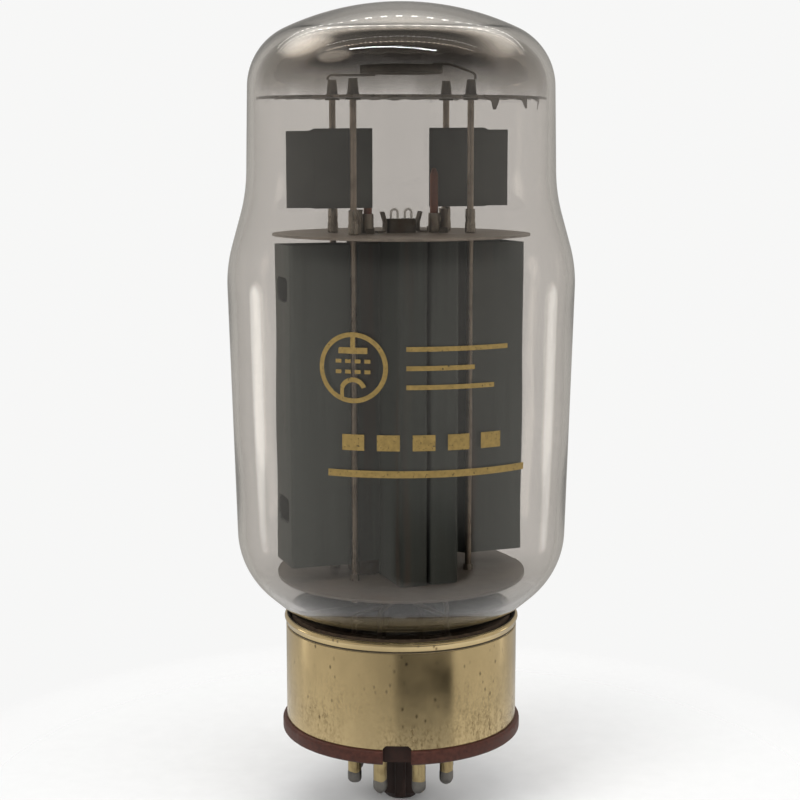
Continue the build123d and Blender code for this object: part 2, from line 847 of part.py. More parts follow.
def pieces():
    """Every piece by name."""
    made = {
        "glass_bulb": glass_bulb(),
        "glass_stem": glass_stem(),
        "exhaust_tube": exhaust_tube(),
        "base_shell": base_shell(),
        "base_wafer": base_wafer(),
        "base_cement": base_cement(),
        "pin_solder": pin_solder(),
        "lead_shell": lead_shell(),
        "lead_heater_right": lead_heater_right(),
        "lead_anode": lead_anode(),
        "lead_screen_grid": lead_screen_grid(),
        "lead_control_grid": lead_control_grid(),
        "lead_heater_left": lead_heater_left(),
        "lead_cathode": lead_cathode(),
        "bottom_mica": bottom_mica(),
        "top_mica": top_mica(),
        "dome_mica": dome_mica(),
        "support_rod_front_left": support_rod(-rod_x, -rod_y),
        "support_rod_front_right": support_rod(rod_x, -rod_y),
        "support_rod_rear_left": support_rod(-rod_x, rod_y),
        "support_rod_rear_right": support_rod(rod_x, rod_y),
        "rod_eyelets_dome": rod_eyelets_dome(),
        "rod_washers_dome": rod_washers_dome(),
        "rod_sleeves_top": rod_sleeves_top(),
        "rod_collars_bottom": rod_collars_bottom(),
        "anode_left": anode_half(-1),
        "anode_right": anode_half(1),
        "beam_plate_left": beam_plate(-1),
        "beam_plate_right": beam_plate(1),
        "cathode_sleeve": cathode_sleeve(),
        "cathode_clips": cathode_clips(),
        "heater": heater(),
        "control_grid_rod_left": control_grid_rod(-1),
        "control_grid_rod_right": control_grid_rod(1),
        "control_grid_winding": control_grid_winding(),
        "control_rod_collars": control_rod_collars(),
        "screen_grid_rod_left": screen_grid_rod(-1),
        "screen_grid_rod_right": screen_grid_rod(1),
        "screen_grid_winding": screen_grid_winding(),
        "screen_rod_sleeves": screen_rod_sleeves(),
        "grid_fin_left": grid_fin(-1),
        "grid_fin_right": grid_fin(1),
        "getter_ring": getter_ring(),
        "getter_support_left": getter_support_left(),
        "getter_support_right": getter_support_right(),
    }
    for number in range(1, pin_count + 1):
        made[f"base_pin_{number}"] = base_pin(number)
    return made


os.makedirs("parts", exist_ok=True)
for name, shape in pieces().items():
    export_step(shape, f"parts/{name}.step")
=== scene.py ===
import math
import random

import bmesh
import bpy
from bpy.props import FloatProperty, FloatVectorProperty, IntProperty, PointerProperty
from bpy.types import Operator, Panel, PropertyGroup
from mathutils import Matrix, Vector, noise


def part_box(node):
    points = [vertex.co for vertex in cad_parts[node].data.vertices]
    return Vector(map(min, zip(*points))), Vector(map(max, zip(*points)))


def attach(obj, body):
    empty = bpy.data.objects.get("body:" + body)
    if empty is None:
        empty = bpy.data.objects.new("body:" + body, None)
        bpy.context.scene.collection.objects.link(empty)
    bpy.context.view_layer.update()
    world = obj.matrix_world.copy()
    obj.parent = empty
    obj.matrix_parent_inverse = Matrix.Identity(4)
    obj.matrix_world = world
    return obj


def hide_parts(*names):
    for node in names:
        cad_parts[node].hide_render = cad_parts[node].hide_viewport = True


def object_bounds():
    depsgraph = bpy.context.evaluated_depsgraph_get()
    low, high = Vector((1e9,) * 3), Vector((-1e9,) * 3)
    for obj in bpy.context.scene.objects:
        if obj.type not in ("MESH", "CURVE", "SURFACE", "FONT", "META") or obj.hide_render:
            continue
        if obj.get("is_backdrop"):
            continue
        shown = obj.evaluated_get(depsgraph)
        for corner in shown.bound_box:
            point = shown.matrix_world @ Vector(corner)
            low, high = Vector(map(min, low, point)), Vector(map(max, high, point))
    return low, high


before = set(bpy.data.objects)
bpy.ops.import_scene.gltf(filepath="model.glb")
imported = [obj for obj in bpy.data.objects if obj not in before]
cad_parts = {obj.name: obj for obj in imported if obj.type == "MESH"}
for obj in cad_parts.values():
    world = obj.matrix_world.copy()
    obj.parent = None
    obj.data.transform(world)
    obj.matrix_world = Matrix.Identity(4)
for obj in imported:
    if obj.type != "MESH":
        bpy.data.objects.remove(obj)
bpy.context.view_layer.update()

bl_info = {
    "name": "Beam power tube",
    "version": (1, 0, 0),
    "blender": (4, 5, 0),
    "location": "View3D > Sidebar > Tube",
    "description": "Dresses a large glass beam power tube around its packed model",
    "category": "Mesh",
}

MM = 0.001
SHARP = math.radians(35)

# Sizes that no setting changes.
PIN_RADIUS = 1.18 * MM
PIN_BORE = 0.75 * MM
PIN_COLLAR = 1.3 * MM
PIN_HEAD = 1.9 * MM
PIN_HEAD_FOOT = 4.0 * MM
PIN_HOLE = 1.32 * MM
SOLDER_SKIN = 0.05 * MM
ROD_HOLE = 0.6 * MM
FITTING_BORE = 0.56 * MM
FIN_HALF = 0.15 * MM
GETTER_WIDTH = 1.3 * MM
GETTER_WALL = 0.2 * MM
CEMENT_CLIMB = 1.1 * MM
CEMENT_LAP = 0.06 * MM


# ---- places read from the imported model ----


def node_middle(name):
    """Centre of a node's box."""
    low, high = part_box(name)
    return (low + high) / 2


def cage_angle():
    """The turn of the electrode cage about the tube's axis, from its two front rods."""
    left = node_middle("support_rod_front_left")
    right = node_middle("support_rod_front_right")
    return math.atan2(right.y - left.y, right.x - left.x)


def cage_box(name):
    """Lowest and highest corner of a node, measured along the cage's own X and Y."""
    turn = Matrix.Rotation(-cage_angle(), 3, "Z")
    places = [turn @ vertex.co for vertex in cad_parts[name].data.vertices]
    low = Vector([min(place[axis] for place in places) for axis in range(3)])
    high = Vector([max(place[axis] for place in places) for axis in range(3)])
    return low, high


def rod_names():
    """The four support rods."""
    return [f"support_rod_{row}_{side}" for row in ("front", "rear") for side in ("left", "right")]


def length(name, description, default):
    """A size in metres that a user may change."""
    return FloatProperty(name=name, description=description, default=default * MM, min=0.0,
                         unit="LENGTH", subtype="DISTANCE", precision=4)


def colour(name, description, default):
    """A colour that a user may change."""
    return FloatVectorProperty(name=name, description=description, default=default, size=3,
                               min=0.0, max=1.0, subtype="COLOR")


# ---- settings ----


class TubeGlassSettings(PropertyGroup):
    """Shape and tint of the bulb, and the getter deposit inside its dome."""

    wall: length("Wall", "Thickness of the glass", 1.2)
    crown_radius: length("Crown radius", "Radius of the shallow top of the dome", 46.0)
    crown_corner: length("Crown corner", "Round between the crown and the dome's side", 10.7)
    dome_radius: length("Dome radius", "Outside radius at the top of the dome's side", 25.6)
    dome_foot_radius: length("Dome foot radius", "Outside radius at the foot of the dome", 26.1)
    dome_foot_height: length("Dome foot height", "Height of the foot of the dome", 93.5)
    belly_top_height: length("Belly top height", "Height of the widest place", 81.3)
    belly_foot_radius: length("Belly foot radius", "Outside radius low on the belly", 28.1)
    belly_foot_height: length("Belly foot height", "Height where the belly turns in", 29.3)
    neck_radius: length("Neck radius", "Outside radius of the neck inside the shell", 18.5)
    dome_round: length("Dome round", "Round between the dome and the shoulder", 29.0)
    belly_round: length("Belly round", "Round at the widest place", 24.0)
    foot_round: length("Foot round", "Round low on the belly", 14.0)
    neck_round: length("Neck round", "Round at the top of the neck", 2.0)
    film_edge: length("Film edge", "Height where the getter deposit ends", 109.3)
    film_fade: length("Film fade", "Height over which the deposit thins out", 6.5)
    segments: IntProperty(name="Segments", description="Faces round the bulb", default=192, min=24)
    tint: colour("Tint", "Smoky tint of the glass", (0.715, 0.692, 0.668))
    film_colour: colour("Film colour", "Colour of the getter deposit", (0.50, 0.475, 0.44))


class TubeBaseSettings(PropertyGroup):
    """Sizes and colours of the base."""

    shell_wall: length("Shell wall", "Thickness of the brass shell", 0.5)
    bead_radius: length("Bead radius", "Radius of the rolled top edge", 0.55)
    groove_drop: length("Groove drop", "From the top edge down to the groove", 1.75)
    groove_radius: length("Groove radius", "Depth of the groove", 0.22)
    notch_width: length("Notch width", "Width of the index notch", 4.7)
    notch_depth: length("Notch depth", "Depth of the index notch in the disc", 1.9)
    disc_thickness: length("Disc thickness", "Thickness of the disc's rim", 2.4)
    disc_round: length("Disc round", "Round on the disc's rim", 0.55)
    spigot_radius: length("Spigot radius", "Radius of the locating spigot", 4.0)
    spigot_chamfer: length("Spigot chamfer", "Chamfer at the spigot's tip", 1.4)
    key_width: length("Key width", "Width of the key on the spigot", 1.9)
    key_height: length("Key height", "How far the key stands out", 1.35)
    brass: colour("Brass", "Colour of the shell", (0.62, 0.485, 0.265))
    pin_brass: colour("Pin brass", "Colour of the pins", (0.42, 0.33, 0.17))
    phenolic: colour("Phenolic", "Colour of the moulded disc", (0.056, 0.0190, 0.0130))


class TubeCageSettings(PropertyGroup):
    """Sizes and colours of the electrodes and micas."""

    anode_sheet: length("Anode sheet", "Thickness of the anode sheet", 0.35)
    anode_wing: length("Anode wing", "Half distance between the wings", 4.55)
    anode_floor: length("Anode floor", "Half distance between the floors beside the ridge", 3.5)
    anode_step: length("Anode step", "Where the wing steps out from the floor", 9.4)
    anode_bend: length("Anode bend", "Bend radius of the anode's folds", 0.55)
    ridge_half: length("Ridge half width", "Half width of the front ridge", 5.05)
    ridge_seam: length("Ridge seam", "Open slit between the two sheets", 0.5)
    ridge_lip: length("Ridge lip", "Depth of the lips beside the slit", 1.6)
    window_width: length("Window width", "Width of the windows in the end faces", 6.0)
    window_height: length("Window height", "Height of the windows", 4.2)
    window_round: length("Window round", "Corner round of the windows", 1.2)
    window_rise: length("Window rise", "From the anode's foot to the lower windows", 9.2)
    window_drop: length("Window drop", "From the anode's top to the upper windows", 7.6)
    fin_crease: length("Fin crease", "From a fin's inner edge to its crease", 10.1)
    tooth_depth: length("Tooth depth", "Depth of the teeth on the dome mica", 2.0)
    teeth: IntProperty(name="Teeth", description="Teeth on the dome mica", default=40, min=8)
    anode_grey: colour("Anode grey", "Carbonised grey of the anode", (0.056, 0.064, 0.059))
    fin_black: colour("Fin black", "Blackened grey of the fins", (0.042, 0.043, 0.038))
    rod_steel: colour("Rod steel", "Colour of the support rods", (0.38, 0.32, 0.265))
    copper: colour("Copper", "Colour of the control grid rods", (0.24, 0.105, 0.075))
    nickel: colour("Nickel", "Colour of the small electrode parts", (0.40, 0.36, 0.31))
    mica: colour("Mica", "Colour of the micas", (0.235, 0.20, 0.168))


class TubeMarkSettings(PropertyGroup):
    """The printed schematic symbol on the glass."""

    height: length("Height", "Height of the symbol's centre", 67.5)
    radius: length("Radius", "Radius of the symbol's ring", 5.2)
    stroke: length("Stroke", "Width of the printed lines", 0.75)
    symbol_shift: FloatProperty(name="Symbol shift", description="Distance round the glass from "
                                "the key to the symbol", default=-6.6 * MM, unit="LENGTH")
    gold: colour("Gold", "Colour of the print", (0.30, 0.205, 0.065))


class TubeStageSettings(PropertyGroup):
    """The camera, lights and floor."""

    distance: length("Distance", "Camera distance from the tube's axis", 295.0)
    height: length("Height", "Camera height over the seating plane", 104.0)
    tilt: FloatProperty(name="Tilt", description="Downward tilt of the camera",
                        default=math.radians(8.85), subtype="ANGLE")
    swing: FloatProperty(name="Swing", description="Camera's turn about the tube",
                         default=math.radians(2.0), subtype="ANGLE")
    lens: FloatProperty(name="Lens", description="Focal length in millimetres", default=78.1)
    light: FloatProperty(name="Light", description="Strength of all the lamps", default=1.0,
                         min=0.0)
    backdrop: colour("Backdrop", "Colour of the surroundings", (0.93, 0.93, 0.925))


# ---- mesh tools ----


def rounded(points, radii, steps=6):
    """A polyline with an arc at each inner corner. radii is one number or one for each corner."""
    points = [Vector(point) for point in points]
    if not isinstance(radii, (list, tuple)):
        radii = [radii] * (len(points) - 2)
    path = [points[0]]
    for before, corner, after, radius in zip(points, points[1:], points[2:], radii):
        back = (before - corner).normalized()
        ahead = (after - corner).normalized()
        half = back.angle(ahead) / 2
        if radius <= 0 or half > math.radians(89.5):
            path.append(corner)
            continue
        reach = radius / math.tan(half)
        centre = corner + (back + ahead).normalized() * radius / math.sin(half)
        first = corner + back * reach - centre
        last = corner + ahead * reach - centre
        sweep = first.angle(last)
        for step in range(steps + 1):
            share = step / steps
            arm = first * math.sin((1 - share) * sweep) + last * math.sin(share * sweep)
            path.append(centre + arm / math.sin(sweep))
    path.append(points[-1])
    return path


def divided(path, longest):
    """The same polyline with its long runs cut into shorter ones."""
    result = [path[0]]
    for start, end in zip(path, path[1:]):
        parts = max(1, math.ceil((end - start).length / longest))
        result += [start.lerp(end, part / parts) for part in range(1, parts + 1)]
    return result


def headings(path):
    """Direction of a path at each of its points."""
    last = len(path) - 1
    return [(path[min(index + 1, last)] - path[max(index - 1, 0)]).normalized()
            for index in range(last + 1)]


def bridge(mesh, first, second):
    """Faces between two rings of vertices. A ring of one vertex is a pole."""
    count = max(len(first), len(second))
    for index in range(count):
        after = (index + 1) % count
        if len(first) == 1:
            mesh.faces.new((first[0], second[after], second[index]))
        elif len(second) == 1:
            mesh.faces.new((first[index], first[after], second[0]))
        else:
            mesh.faces.new((first[index], first[after], second[after], second[index]))


def loft(mesh, rings, capped=True):
    """Faces through a row of rings, with a face at each end if capped."""
    for first, second in zip(rings, rings[1:]):
        bridge(mesh, first, second)
    if capped:
        mesh.faces.new(rings[0])
        mesh.faces.new(rings[-1])


def outward(mesh):
    """The mesh with its normals pointing outward."""
    bmesh.ops.recalc_face_normals(mesh, faces=mesh.faces)
    return mesh


def lathe(profile, steps, closed=False, centre=(0, 0)):
    """A profile of (radius, height) turned about an upright axis."""
    mesh = bmesh.new()
    rings = []
    for radius, height in profile:
        if radius < 1e-7:
            rings.append([mesh.verts.new((*centre, height))])
            continue
        angles = [2 * math.pi * step / steps for step in range(steps)]
        rings.append([
            mesh.verts.new((centre[0] + radius * math.cos(angle),
                            centre[1] + radius * math.sin(angle), height))
            for angle in angles
        ])
    loft(mesh, rings, capped=False)
    if closed:
        bridge(mesh, rings[-1], rings[0])
    return outward(mesh)


def sheet(line, thickness, lows, highs, rows, warp=0.0):
    """A sheet standing on edge along a plan line. Each column has its own foot and top."""
    mesh = bmesh.new()
    columns = []
    for place, heading, low, high in zip(line, headings(line), lows, highs):
        normal = Vector((heading.y, -heading.x, 0))
        pair = []
        for side in (-0.5, 0.5):
            column = []
            for row in range(rows + 1):
                height = low + (high - low) * row / rows
                spot = Vector((place.x, place.y, height))
                bend = noise.noise(spot * 90) * warp
                column.append(mesh.verts.new(spot + normal * (side * thickness + bend)))
            pair.append(column)
        columns.append(pair)
    for (back, front), (next_back, next_front) in zip(columns, columns[1:]):
        for row in range(rows):
            mesh.faces.new((back[row], back[row + 1], next_back[row + 1], next_back[row]))
            mesh.faces.new((front[row], next_front[row], next_front[row + 1], front[row + 1]))
        mesh.faces.new((back[0], next_back[0], next_front[0], front[0]))
        mesh.faces.new((back[-1], front[-1], next_front[-1], next_back[-1]))
    for back, front in (columns[0], columns[-1]):
        for row in range(rows):
            mesh.faces.new((back[row], front[row], front[row + 1], back[row + 1]))
    return outward(mesh)


def slab(outline, low, high):
    """A flat outline raised from one height to another."""
    mesh = bmesh.new()
    loft(mesh, [[mesh.verts.new((x, y, height)) for x, y in outline] for height in (low, high)])
    return outward(mesh)


def joined(meshes):
    """Several meshes as one."""
    whole = meshes[0]
    for extra in meshes[1:]:
        carrier = bpy.data.meshes.new("carrier")
        extra.to_mesh(carrier)
        extra.free()
        whole.from_mesh(carrier)
        bpy.data.meshes.remove(carrier)
    return whole


def turned(mesh, angle):
    """A mesh turned about the tube's axis."""
    bmesh.ops.rotate(mesh, verts=mesh.verts, cent=(0, 0, 0), matrix=Matrix.Rotation(angle, 3, "Z"))
    return mesh


def plain_object(name, mesh):
    """A Blender object from a mesh under construction."""
    data = bpy.data.meshes.new(name)
    mesh.to_mesh(data)
    mesh.free()
    thing = bpy.data.objects.new(name, data)
    bpy.context.scene.collection.objects.link(thing)
    return thing


def cut(thing, cutters):
    """Takes cutters away from an object, then deletes them."""
    for cutter in cutters:
        step = thing.modifiers.new("cut", "BOOLEAN")
        step.object = cutter
        step.operation = "DIFFERENCE"
        step.solver = "EXACT"
    bpy.context.view_layer.update()
    evaluated = thing.evaluated_get(bpy.context.evaluated_depsgraph_get())
    data = bpy.data.meshes.new_from_object(evaluated)
    thing.modifiers.clear()
    thing.data = data
    for cutter in cutters:
        bpy.data.objects.remove(cutter)


def finished(thing, material, replaced=()):
    """Smooths a piece, gives it its finish and places it in the frame."""
    thing.data.materials.clear()
    thing.data.materials.append(material)
    thing.data.shade_smooth()
    thing.data.set_sharp_from_angle(angle=SHARP)
    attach(thing, "root")
    if replaced:
        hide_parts(*replaced)
    return thing


def piece(name, mesh, material, replaced=()):
    """A finished piece from a mesh under construction."""
    return finished(plain_object(name, mesh), material, replaced)


def dress(names, material):
    """Gives CAD pieces their finish."""
    for name in names:
        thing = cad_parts[name]
        thing.data.materials.clear()
        thing.data.materials.append(material)


# ---- materials ----


class Nodes:
    """A node tree under construction."""

    def __init__(self, tree):
        self.tree = tree

    def add(self, kind, operation=None, **inputs):
        """A node with its inputs set or linked. Underscores stand for spaces, i0 for input 0."""
        node = self.tree.nodes.new(kind)
        if operation:
            node.operation = operation
        for name, value in inputs.items():
            key = int(name[1:]) if name[1:].isdigit() else name.replace("_", " ")
            self.feed(node.inputs[key], value)
        return node

    def feed(self, socket, value):
        """Links a socket or sets its value."""
        if isinstance(value, bpy.types.NodeSocket):
            self.tree.links.new(value, socket)
        else:
            socket.default_value = value

    def fit(self, value, low, high, start=0.0, end=1.0, kind="LINEAR"):
        """A value taken from one range to another and held there."""
        node = self.add("ShaderNodeMapRange", Value=value, From_Min=low, From_Max=high,
                        To_Min=start, To_Max=end)
        node.interpolation_type = kind
        return node.outputs["Result"]

    def calc(self, kind, first, second=0.0):
        """A sum, or another operation on one or two values."""
        return self.add("ShaderNodeMath", kind, i0=first, i1=second).outputs[0]

    def times(self, *values):
        """The product of two values or more."""
        result = values[0]
        for value in values[1:]:
            result = self.calc("MULTIPLY", result, value)
        return result


class Finish(Nodes):
    """A material under construction."""

    def __init__(self, name):
        self.material = bpy.data.materials.new(name)
        self.material.use_nodes = True
        super().__init__(self.material.node_tree)
        self.shader = self.tree.nodes["Principled BSDF"]
        self.place = self.add("ShaderNodeTexCoord").outputs["Object"]

    def stretched(self, stretch):
        """The piece's own coordinates, stretched."""
        return self.add("ShaderNodeMapping", Vector=self.place, Scale=stretch).outputs[0]

    def noise(self, scale, stretch=(1, 1, 1), detail=4.0, rough=0.55):
        """A cloudy value over the piece. scale is in spots for each metre."""
        node = self.add("ShaderNodeTexNoise", Vector=self.stretched(stretch), Scale=scale,
                        Detail=detail, Roughness=rough)
        return node.outputs["Fac"]

    def spots(self, scale, stretch=(1, 1, 1)):
        """Distance to the nearest of many scattered points."""
        node = self.add("ShaderNodeTexVoronoi", Vector=self.stretched(stretch), Scale=scale)
        return node.outputs["Distance"]

    def span(self, spot):
        """Length of a vector."""
        return self.add("ShaderNodeVectorMath", "LENGTH", Vector=spot).outputs["Value"]

    def reach(self):
        """Distance from the tube's axis."""
        return self.span(self.stretched((1, 1, 0)))

    def height(self):
        """Height over the seating plane."""
        return self.add("ShaderNodeSeparateXYZ", Vector=self.place).outputs["Z"]

    def blend(self, share, first, second):
        """A colour between two."""
        node = self.tree.nodes.new("ShaderNodeMix")
        node.data_type = "RGBA"
        self.feed(node.inputs["Factor"], share)
        for socket, value in zip((node.inputs[6], node.inputs[7]), (first, second)):
            self.feed(socket, value if isinstance(value, bpy.types.NodeSocket) else (*value, 1.0))
        return node.outputs[2]

    def mottled(self, value, tone, dark, light, low=0.35, high=0.65):
        """A tone that a cloudy value takes from dark times itself to light times itself."""
        return self.blend(self.fit(value, low, high), shade(tone, dark), shade(tone, light))

    def stained(self, base, value, low, high, amount, tone):
        """A colour with another laid over it where a value is high."""
        return self.blend(self.fit(value, low, high, 0.0, amount), base, tone)

    def bump(self, value, strength, distance):
        """Small relief."""
        node = self.add("ShaderNodeBump", Height=value, Strength=strength, Distance=distance)
        self.feed(self.shader.inputs["Normal"], node.outputs["Normal"])

    def surface(self, **inputs):
        """Sets or links the shader's own sockets."""
        for name, value in inputs.items():
            self.feed(self.shader.inputs[name.replace("_", " ")], value)

    def veil(self, share, tint=(1, 1, 1)):
        """Mixes in a clear view through the surface, by a share."""
        clear = self.add("ShaderNodeBsdfTransparent", Color=(*tint, 1.0))
        mix = self.add("ShaderNodeMixShader", Fac=share, i1=self.shader.outputs[0],
                       i2=clear.outputs[0])
        output = self.tree.nodes["Material Output"]
        self.tree.links.new(mix.outputs[0], output.inputs["Surface"])


def wall_middle(base):
    """Radius halfway through the shell's wall."""
    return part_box("base_shell")[1].x - base.bead_radius / 2 - 0.45 * base.shell_wall


def shade(tone, factor):
    """A colour made darker or lighter."""
    return tuple(min(1.0, value * factor) for value in tone)


def bulb_glass_finish(settings):
    """Thin smoky glass, a little uneven, that lets lamp light through, with painted shade low down
    towards the seal.
    """
    finish = Finish("smoky_glass")
    cloud = finish.noise(60, (1, 1, 0.5))
    wave = finish.noise(38, (1, 1, 0.6), 1.0)
    tint = finish.mottled(cloud, settings.tint, 1.0, 0.965)
    # Painted shade: the tint darkens towards the seal, standing in for the shade and dark
    # reflections of the lower glass.
    seal_shade = finish.fit(finish.height(), 0.0190, 0.0290, 0.9, 0.0)
    tint = finish.blend(seal_shade, tint, (0.20, 0.20, 0.195))
    finish.surface(Base_Color=tint, Roughness=0.012, IOR=1.5, Transmission_Weight=1.0)
    finish.bump(wave, 0.06, 0.0012)
    lamp = finish.add("ShaderNodeLightPath").outputs["Is Shadow Ray"]
    finish.veil(lamp, (0.9, 0.89, 0.87))
    return finish.material


def film_finish(settings):
    """The mirror of getter metal, thick at the crown and thin at its edge."""
    finish = Finish("getter_mirror")
    wander = finish.times(finish.noise(70, (1, 1, 0.4)), 0.011)
    level = finish.calc("SUBTRACT", finish.height(), wander)
    cover = finish.fit(level, settings.film_edge - 0.0055, settings.film_edge + settings.film_fade)
    cover = finish.calc("POWER", cover, 0.80)
    brown = finish.blend(cover, (0.20, 0.15, 0.11), tuple(settings.film_colour))
    finish.surface(Base_Color=brown, Metallic=1.0,
                   Roughness=finish.fit(finish.noise(160), 0.3, 0.7, 0.012, 0.03))
    clear = finish.fit(cover, 0.0, 0.8, 1.0, 0.04)
    finish.veil(clear)
    return finish.material


def stem_glass_finish():
    """The thick pressed glass of the stem and the pumping tube."""
    finish = Finish("stem_glass")
    tint = finish.blend(finish.noise(300), (0.44, 0.45, 0.42), (0.34, 0.35, 0.32))
    finish.surface(Base_Color=tint, Roughness=0.06, IOR=1.5, Transmission_Weight=1.0)
    finish.bump(finish.noise(700), 0.15, 0.0002)
    finish.veil(finish.add("ShaderNodeLightPath").outputs["Is Shadow Ray"], (0.7, 0.7, 0.68))
    return finish.material


def metal_finish(name, tone, stain, rough, scale, stretch=(1, 1, 0.08), relief=0.1):
    """A dulled metal with drawn streaks, stains and small dark spots."""
    finish = Finish(name)
    streak = finish.noise(scale, stretch, 5.0)
    cloud = finish.noise(scale * 0.25)
    base = finish.mottled(streak, tone, 0.80, 1.16, 0.3, 0.7)
    base = finish.stained(base, cloud, 0.48, 0.72, 0.75, stain)
    worn = finish.fit(streak, 0.3, 0.7, rough - 0.08, rough + 0.14)
    finish.surface(Base_Color=base, Metallic=1.0, Roughness=worn)
    finish.bump(streak, relief, 0.0001)
    return finish.material


def shell_finish(settings):
    """Polished brass with a speckled tarnish that thickens towards its foot, and painted shade on
    the inside of its wall.
    """
    finish = Finish("aged_brass")
    streak = finish.noise(900, (1, 1, 0.22), 6.0, 0.7)
    patch = finish.noise(120, (1, 1, 0.8), 5.0)
    speck = finish.noise(2600, (1, 1, 0.7), 3.0, 0.6)
    freckle = finish.spots(800, (1, 1, 0.6))
    base = finish.mottled(patch, settings.brass, 0.84, 1.0)
    low = finish.fit(finish.height(), 0.0030, 0.0150, 1.0, 0.08)
    grime = finish.times(finish.fit(finish.times(streak, speck), 0.20, 0.38), low,
                         finish.fit(finish.noise(90), 0.36, 0.60, 0.15, 1.0))
    base = finish.blend(finish.times(grime, 0.80), base, (0.12, 0.075, 0.03))
    dots = finish.times(finish.fit(freckle, 0.22, 0.08), finish.fit(patch, 0.46, 0.60), 0.75)
    base = finish.blend(dots, base, (0.09, 0.055, 0.022))
    # Painted shade: the inside of the wall is darkened to near-black, rougher and not metal.
    wall = wall_middle(settings)
    inside = finish.fit(finish.reach(), wall, wall + 0.18 * MM, 1.0, 0.0)
    base = finish.blend(inside, base, (0.012, 0.009, 0.007))
    rough = finish.calc("ADD", finish.fit(patch, 0.35, 0.7, 0.13, 0.20),
                        finish.fit(grime, 0, 1, 0, 0.16))
    rough = finish.calc("ADD", rough, finish.times(inside, 0.6))
    finish.surface(Base_Color=base, Metallic=finish.fit(inside, 0.0, 1.0, 1.0, 0.0),
                   Roughness=rough)
    finish.bump(finish.calc("ADD", streak, patch), 0.05, 0.00010)
    return finish.material


def phenolic_finish(settings):
    """Red-brown moulding with a fine mottle, with painted shade on the spigot and inside the rim's
    radius.
    """
    finish = Finish("red_brown_phenolic")
    mottle = finish.noise(1400, detail=6.0)
    base = finish.mottled(mottle, settings.phenolic, 0.75, 1.3)
    # Painted shade: the spigot, below the disc, darkened.
    deep = finish.fit(finish.height(), -0.0004, 0.0004, 1.0, 0.0)
    base = finish.blend(finish.times(deep, 0.72), base, (0.020, 0.0095, 0.0065))
    # Painted shade: everything inside the rim's radius, such as the notch's inner wall and the
    # disc's underside, darkened.
    inner = finish.fit(finish.reach(), 0.0192, 0.0194, 1.0, 0.0)
    base = finish.blend(finish.times(inner, 0.7), base, (0.016, 0.009, 0.0065))
    scuff = finish.noise(500, (1, 1, 0.3))
    base = finish.stained(base, scuff, 0.62, 0.75, 0.22, (0.12, 0.07, 0.055))
    finish.surface(Base_Color=base, Roughness=finish.fit(mottle, 0.3, 0.7, 0.42, 0.60),
                   Specular_IOR_Level=0.25)
    finish.bump(mottle, 0.12, 0.0001)
    return finish.material


def cement_finish():
    """Dark baked cement."""
    finish = Finish("baked_cement")
    grain = finish.noise(1600, detail=8.0, rough=0.7)
    base = finish.blend(finish.fit(grain, 0.3, 0.7), (0.022, 0.014, 0.009), (0.085, 0.055, 0.032))
    finish.surface(Base_Color=base, Roughness=0.85)
    finish.bump(grain, 0.8, 0.0004)
    return finish.material


def mica_finish(name, tone):
    """Sheet mica, dusty, with faint flakes and pale worn places."""
    finish = Finish(name)
    cloud = finish.noise(130, detail=6.0)
    flake = finish.spots(700)
    base = finish.mottled(cloud, tone, 0.68, 1.1)
    base = finish.stained(base, flake, 0.45, 0.7, 0.25, shade(tone, 1.5))
    base = finish.stained(base, finish.noise(60), 0.55, 0.75, 0.7, (0.16, 0.11, 0.075))
    finish.surface(Base_Color=base, Roughness=finish.fit(cloud, 0.3, 0.7, 0.28, 0.5),
                   Specular_IOR_Level=0.6)
    finish.bump(flake, 0.12, 0.0001)
    return finish.material


def anode_finish(settings):
    """Carbonised sheet, soft grey-green with upright rolling marks and brown heat stains."""
    finish = Finish("carbonised_grey")
    streak = finish.noise(520, (1, 1, 0.03), 6.0, 0.6)
    cloud = finish.noise(48, (1, 1, 0.35))
    base = finish.mottled(streak, settings.anode_grey, 0.74, 1.22, 0.32, 0.68)
    base = finish.stained(base, cloud, 0.50, 0.72, 0.55, (0.060, 0.055, 0.044))
    stain = finish.noise(260, (1, 1, 0.05), 3.0)
    base = finish.stained(base, stain, 0.60, 0.72, 0.5, (0.085, 0.050, 0.036))
    finish.surface(Base_Color=base, Metallic=0.10, Specular_IOR_Level=0.35,
                   Roughness=finish.fit(streak, 0.3, 0.7, 0.42, 0.62))
    finish.bump(streak, 0.10, 0.00012)
    return finish.material


def fin_finish(settings):
    """Blackened sheet with a dusty bloom and fine pale specks."""
    finish = Finish("blackened_sheet")
    tone = tuple(settings.fin_black)
    grain = finish.noise(3600, detail=5.0)
    cloud = finish.noise(170, (1, 1, 0.5))
    base = finish.mottled(cloud, tone, 0.72, 1.3)
    base = finish.stained(base, grain, 0.55, 0.8, 0.4, shade(tone, 2.0))
    finish.surface(Base_Color=base, Metallic=0.1, Specular_IOR_Level=0.35,
                   Roughness=finish.fit(cloud, 0.3, 0.7, 0.45, 0.65))
    finish.bump(cloud, 0.2, 0.0003)
    return finish.material


def heater_finish():
    """The white coating of the heater wire, cracked and a little grey."""
    finish = Finish("white_coating")
    grain = finish.noise(4000, detail=6.0)
    base = finish.blend(grain, (0.75, 0.73, 0.69), (0.50, 0.48, 0.44))
    finish.surface(Base_Color=base, Roughness=0.85)
    finish.bump(grain, 0.5, 0.00005)
    return finish.material


def print_finish(settings):
    """Gold print, thin in places."""
    finish = Finish("gold_print")
    speck = finish.noise(1500, detail=5.0)
    base = finish.mottled(speck, settings.gold, 0.78, 1.15, 0.35, 0.7)
    finish.surface(Base_Color=base, Metallic=0.25,
                   Roughness=finish.fit(speck, 0.3, 0.7, 0.42, 0.6))
    finish.bump(speck, 0.1, 0.00003)
    finish.veil(finish.fit(finish.noise(2600, detail=2.0), 0.64, 0.72, 0.0, 0.7))
    return finish.material


# ---- bulb ----


